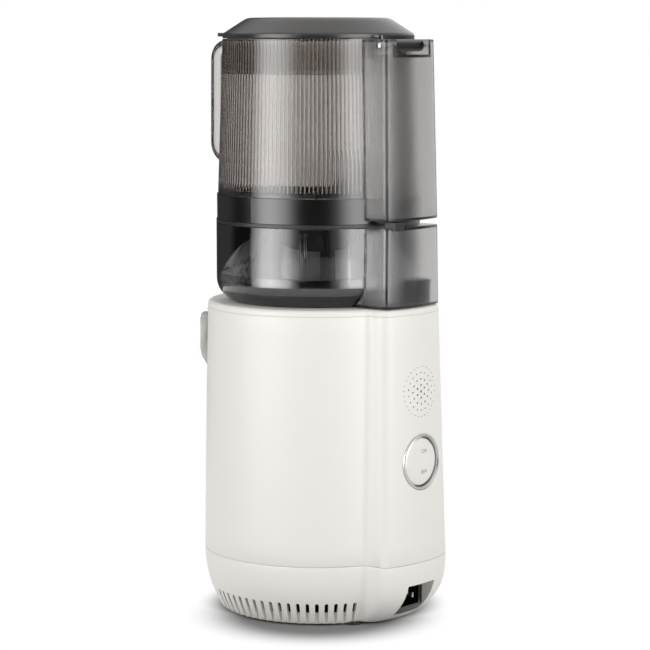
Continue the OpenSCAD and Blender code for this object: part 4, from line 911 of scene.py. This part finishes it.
class JUICER_OT_tub(bpy.types.Operator):
    """Fluted clear tub of the hopper"""

    bl_idname = "juicer.tub"
    bl_label = "Hopper tub"

    def execute(self, context):
        hopper = context.scene.juicer_hopper
        per_flute = 8
        count = hopper.flutes * per_flute
        foot, top = hopper.tub_foot, hopper.tub_top
        half_pitch = FULL_TURN * 74 * MM / hopper.flutes / 2
        start, low, high, thick = hopper.flute_foot, hopper.band_foot, hopper.band_top, hopper.band_wall

        def outer(z):
            return mix(hopper.tub_low, hopper.tub_high, (z - foot) / (top - foot))

        def ring(z, radius, reach=lambda i: 0.0):
            return [Vector(((radius + reach(i)) * math.cos(a), (radius + reach(i)) * math.sin(a), z))
                    for i, a in enumerate(FULL_TURN * i / count for i in range(count))]

        def fluted(z, extra):
            near = max(0.0, start + half_pitch - z) / half_pitch
            bowls = [math.sqrt(max(0.0, 1 - (2 * (i / per_flute - 0.5)) ** 2 - near ** 2)) for i in range(per_flute)]
            return ring(z, outer(z) - hopper.tub_wall - extra, lambda i: hopper.flute_depth * bowls[i % per_flute])

        sides = [foot + 0.4 * MM, foot + 1.2 * MM] + [mix(foot, top, i / 4) for i in range(1, 4)]
        sides += [top - 1.3 * MM, top - 0.5 * MM]
        heights = [(top, 0.0), (high + 4.6 * MM, 0.0), (high, thick), (mix(low, high, 0.5), thick), (low, thick),
                   (low - 0.5 * MM, 0.0)]
        heights += [(mix(low - 0.5 * MM, start + half_pitch, i / 8), 0.0) for i in range(1, 9)]
        heights += [(start + half_pitch * math.cos(math.pi / 2 * i / 6), 0.0) for i in range(1, 7)]
        rings = [ring(foot, outer(foot) - 0.3 * MM)] + [ring(z, outer(z)) for z in sides]
        rings += [ring(top, outer(top) - 0.4 * MM)] + [fluted(z, extra) for z, extra in heights]
        rings.append(ring(foot, outer(foot) - hopper.tub_wall))
        piece = to_object(solid(skin, rings, closed=True), "fluted_tub")
        dress(piece, "hopper", "smoke", "hopper_tub", finish="tub", angle=30)
        return {"FINISHED"}


class JUICER_OT_handle(bpy.types.Operator):
    """Bent strap of the hopper's handle"""

    bl_idname = "juicer.handle"
    bl_label = "Handle"

    def execute(self, context):
        hopper = context.scene.juicer_hopper
        outline = self.line(hopper, 0.0) + self.line(hopper, hopper.handle_wall)[::-1]
        half = hopper.handle_width / 2
        bm = solid(prism, [(-half, y, z) for y, z in outline], (2 * half, 0, 0))
        round_edges(bm, [e for e in bm.edges if abs(e.verts[0].co.x - e.verts[1].co.x) < 1e-6], 0.7 * MM, 3)
        piece = to_object(bm, "handle_strap")
        slope, under = (hopper.tub_high - hopper.tub_low) / (hopper.tub_top - hopper.tub_foot), 0.3
        sides = [(hopper.tub_low + 0.1 * MM + slope * (z - hopper.tub_foot), z) for z in (under, ABOVE)]
        cut(piece, turned, [(0, under)] + sides + [(0, ABOVE)], closed=False)
        dress(piece, "hopper", "smoke", "hopper_handle", angle=40)
        return {"FINISHED"}

    def line(self, hopper, inset):
        """Outline of the strap seen from the side, inset from its outer face."""
        top, low = hopper.tub_top - 1.2 * MM, hopper.tub_foot + 21 * MM
        points = [(-68.1 * MM, top - inset)]
        for cy, cz, bend, first, last in ((-89 * MM, top - 15 * MM, 15 * MM, 90, 180),
                                          (-88.6 * MM, low + 16 * MM, 16 * MM, 180, 265)):
            for i in range(17):
                a = math.radians(mix(first, last, i / 16))
                points.append((cy + (bend - inset) * math.cos(a), cz + (bend - inset) * math.sin(a)))
        return points + [(-72 * MM, low - 1.6 * MM + inset)]


class JUICER_OT_lid(bpy.types.Operator):
    """Dark lid with its front tab, rear hinge plate and knuckle"""

    bl_idname = "juicer.lid"
    bl_label = "Lid"

    def execute(self, context):
        foot = context.scene.juicer_hopper.lid_foot
        piece = to_object(solid(turned, [(r * MM, foot + z * MM) for r, z in LID_OUTER + LID_INNER]), "lid_moulding")
        join(piece, block, (-20 * MM, -87.6 * MM, foot + 1.3 * MM), (20 * MM, -71.8 * MM, foot + 4.3 * MM), 0.8 * MM, 3)
        join(piece, block, (-21.5 * MM, 69 * MM, foot), (21.5 * MM, 77 * MM, foot + 2.4 * MM), 0.5 * MM)
        dress(piece, "lid", "lid", "lid_shell", angle=32)
        knuckle = to_object(solid(block, (-19.5 * MM, 75.6 * MM, 438.5 * MM), (19.5 * MM, 79.2 * MM, foot + 2.5 * MM),
                                  0.5 * MM), "lid_knuckle")
        join(knuckle, hinge_rod, 4.6 * MM, -19.5 * MM, 19.5 * MM, 48)
        join(knuckle, block, (-19.4 * MM, 76.2 * MM, 439.2 * MM), (19.4 * MM, 84 * MM, 444.5 * MM))
        cut(knuckle, hinge_rod, 2.05 * MM, -0.04, 0.04)
        dress(knuckle, "lid", "lid", "lid_shell", finish="band", angle=32)
        return {"FINISHED"}


class JUICER_OT_finishes(bpy.types.Operator):
    """Finishes of the pieces that keep their shape"""

    bl_idname = "juicer.finishes"
    bl_label = "Other finishes"

    def execute(self, context):
        made = finishes()
        special = {"strainer_mesh": "mesh", "hopper_ring": "band", "inlet_socket": "band", "switch_rocker": "shell"}
        slots = {part["node"]: part["material_slot"] for part in frame["record"]["subparts"]}
        for name, node in frame["nodes"].items():
            node.data.materials.clear()
            node.data.materials.append(made[special.get(name, slots[name])])
        return {"FINISHED"}


class JUICER_OT_studio(bpy.types.Operator):
    """Pale floor, soft light and the camera"""

    bl_idname = "juicer.studio"
    bl_label = "Studio"

    def execute(self, context):
        studio = context.scene.juicer_studio
        self.floor()
        self.world(studio)
        for name, heading, width in LAMPS:
            self.softbox(name + "_softbox", math.radians(heading), getattr(studio, name), width)
        self.camera(studio)
        context.scene.view_settings.view_transform = "Standard"
        return {"FINISHED"}

    def floor(self):
        """A floor with a painted soft shadow under the object, white beyond it."""
        floor = to_object(solid(bmesh.ops.create_circle, cap_ends=True, radius=0.9, segments=96), "floor")
        material = bpy.data.materials.new("Studio floor")
        material.use_nodes = True
        tree = material.node_tree
        tree.nodes.clear()
        fades = []
        for centre, near, far in FLOOR_FADES:
            reach = add(tree, "VectorMath", {0: place_of(tree), 1: centre}, operation="DISTANCE").outputs["Value"]
            fade = add(tree, "MapRange", {"Value": reach, "From Min": near, "From Max": far},
                       interpolation_type="SMOOTHSTEP")
            fades.append(fade.outputs["Result"])
        clear = step(tree, "MINIMUM", *fades)
        # painted shadow: the floor's colour is darker under the object
        shade = add(tree, "Mix", {"Factor": clear, "A": PAINTED_FLOOR_SHADOW, "B": FLOOR_PALE}, data_type="RGBA")
        rays = add(tree, "LightPath").outputs
        looks = step(tree, "MAXIMUM", rays["Is Camera Ray"], rays["Is Transmission Ray"])
        seen = step(tree, "MULTIPLY", clear, step(tree, "MAXIMUM", looks, rays["Is Glossy Ray"]))
        matt = add(tree, "BsdfDiffuse", {"Color": shade.outputs["Result"]}).outputs["BSDF"]
        blend = add(tree, "MixShader", {"Fac": seen, 1: matt, 2: add(tree, "Emission").outputs["Emission"]})
        add(tree, "OutputMaterial", {"Surface": blend.outputs["Shader"]})
        floor.data.materials.append(material)

    def world(self, studio):
        """White for the camera, an even ambient light for what is matt, and a room for glass and metal to mirror."""
        world = bpy.data.worlds.new("studio")
        bpy.context.scene.world = world
        world.use_nodes = True
        tree = world.node_tree
        tree.nodes.clear()
        white, even, room = (
            add(tree, "Background", {"Strength": strength, "Color": tint}).outputs["Background"]
            for strength, tint in ((1.0, (1, 1, 1, 1)), (studio.ambient, (1.0, 0.995, 0.985, 1)),
                                   (ROOM_PEAK, self.room(tree))))
        rays = add(tree, "LightPath").outputs
        mirrored = step(tree, "MAXIMUM", rays["Is Glossy Ray"], rays["Is Transmission Ray"])
        lit = add(tree, "MixShader", {"Fac": mirrored, 1: even, 2: room}).outputs["Shader"]
        seen = add(tree, "MixShader", {"Fac": rays["Is Camera Ray"], 1: lit, 2: white}).outputs["Shader"]
        add(tree, "OutputWorld", {"Surface": seen})

    def room(self, tree):
        """Brightness of the room by compass direction: backdrop, soft edges of the softboxes and black flags."""
        split = add(tree, "SeparateXYZ", {"Vector": add(tree, "TexCoord").outputs["Generated"]}).outputs
        heading = step(tree, "ARCTAN2", split["Y"], split["X"])

        def share_of(value, low, high, more=None, **settings):
            inputs = {"Value": value, "From Min": low, "From Max": high, **(more or {})}
            return add(tree, "MapRange", inputs, **settings).outputs["Result"]

        def grey(value):
            return (*[value / ROOM_PEAK] * 3, 1.0)

        def over(under, share, value):
            inputs = {"Factor": share, "A": under, "B": grey(value)}
            return add(tree, "Mix", inputs, data_type="RGBA").outputs["Result"]

        walls = add(tree, "ValToRGB", {"Fac": share_of(heading, -math.pi, math.pi)})
        ramp = walls.color_ramp.elements
        while len(ramp) < len(ROOM_STOPS):
            ramp.new(0.5)
        for stop, (angle, value) in zip(ramp, ROOM_STOPS):
            stop.position = (angle + 180) / 360
        for stop, (angle, value) in zip(ramp, ROOM_STOPS):
            stop.color = grey(value)
        slant = share_of(split["Z"], *ROOM_FOOT, {"To Min": ROOM_LEAN, "To Max": 0.0})
        edge = share_of(step(tree, "ADD", heading, slant), *ROOM_EDGE, interpolation_type="SMOOTHSTEP")
        return over(over(walls.outputs["Color"], edge, 1.0), share_of(split["Z"], 0.3, 0.75), 1.2)

    def softbox(self, name, heading, power, width):
        lamp = bpy.data.lights.new(name, "AREA")
        lamp.shape = "RECTANGLE"
        lamp.size, lamp.size_y = width, LAMP_TALL
        lamp.energy = power
        holder = bpy.data.objects.new(name, lamp)
        holder.visible_glossy = holder.visible_transmission = False  # the room's pattern stands in for it there
        place = Vector((LAMP_REACH * math.cos(heading), LAMP_REACH * math.sin(heading), LAMP_HEIGHT))
        self.aim(holder, place, place - Vector((0, 0, LAMP_DROP)))

    def camera(self, studio):
        lens = bpy.data.cameras.new("camera")
        lens.lens = studio.lens
        lens.sensor_width = 36.0
        lens.sensor_fit = "HORIZONTAL"
        holder = bpy.data.objects.new("camera", lens)
        place = Vector((studio.distance * math.cos(studio.heading), studio.distance * math.sin(studio.heading),
                        studio.eye))
        toward = studio.heading + math.pi - studio.yaw
        look = Vector((math.cos(toward) * math.cos(studio.pitch), math.sin(toward) * math.cos(studio.pitch),
                       -math.sin(studio.pitch)))
        self.aim(holder, place, -look)
        bpy.context.scene.camera = holder

    def aim(self, holder, place, back):
        """Puts a lamp or camera at a place, with its back towards a direction."""
        bpy.context.scene.collection.objects.link(holder)
        holder.matrix_world = Matrix.Translation(place) @ back.to_track_quat("Z", "Y").to_matrix().to_4x4()


OPERATORS = (
    JUICER_OT_studio, JUICER_OT_finishes, JUICER_OT_base, JUICER_OT_body, JUICER_OT_cover, JUICER_OT_switch,
    JUICER_OT_drum, JUICER_OT_rear_covers, JUICER_OT_tub, JUICER_OT_handle, JUICER_OT_lid,
)


class JUICER_PT_panel(bpy.types.Panel):
    """Lists the juicer's pieces and sizes"""

    bl_label = "Juicer"
    bl_idname = "JUICER_PT_panel"
    bl_space_type = "VIEW_3D"
    bl_region_type = "UI"
    bl_category = "Juicer"

    def draw(self, context):
        for group in GROUPS:
            box = self.layout.box()
            settings = getattr(context.scene, group)
            for name in settings.bl_rna.properties.keys():
                if name not in ("rna_type", "name"):
                    box.prop(settings, name)
        for operator in OPERATORS:
            self.layout.operator(operator.bl_idname)


def register():
    for name, group in GROUPS.items():
        bpy.utils.register_class(group)
        setattr(bpy.types.Scene, name, bpy.props.PointerProperty(type=group))
    for cls in OPERATORS + (JUICER_PT_panel,):
        bpy.utils.register_class(cls)


def unregister():
    for cls in reversed(OPERATORS + (JUICER_PT_panel,)):
        bpy.utils.unregister_class(cls)
    for name, group in reversed(list(GROUPS.items())):
        delattr(bpy.types.Scene, name)
        bpy.utils.unregister_class(group)


def main():
    register()
    for operator in OPERATORS:
        area, name = operator.bl_idname.split(".")
        getattr(getattr(bpy.ops, area), name)()


if __name__ == "__main__":
    main()
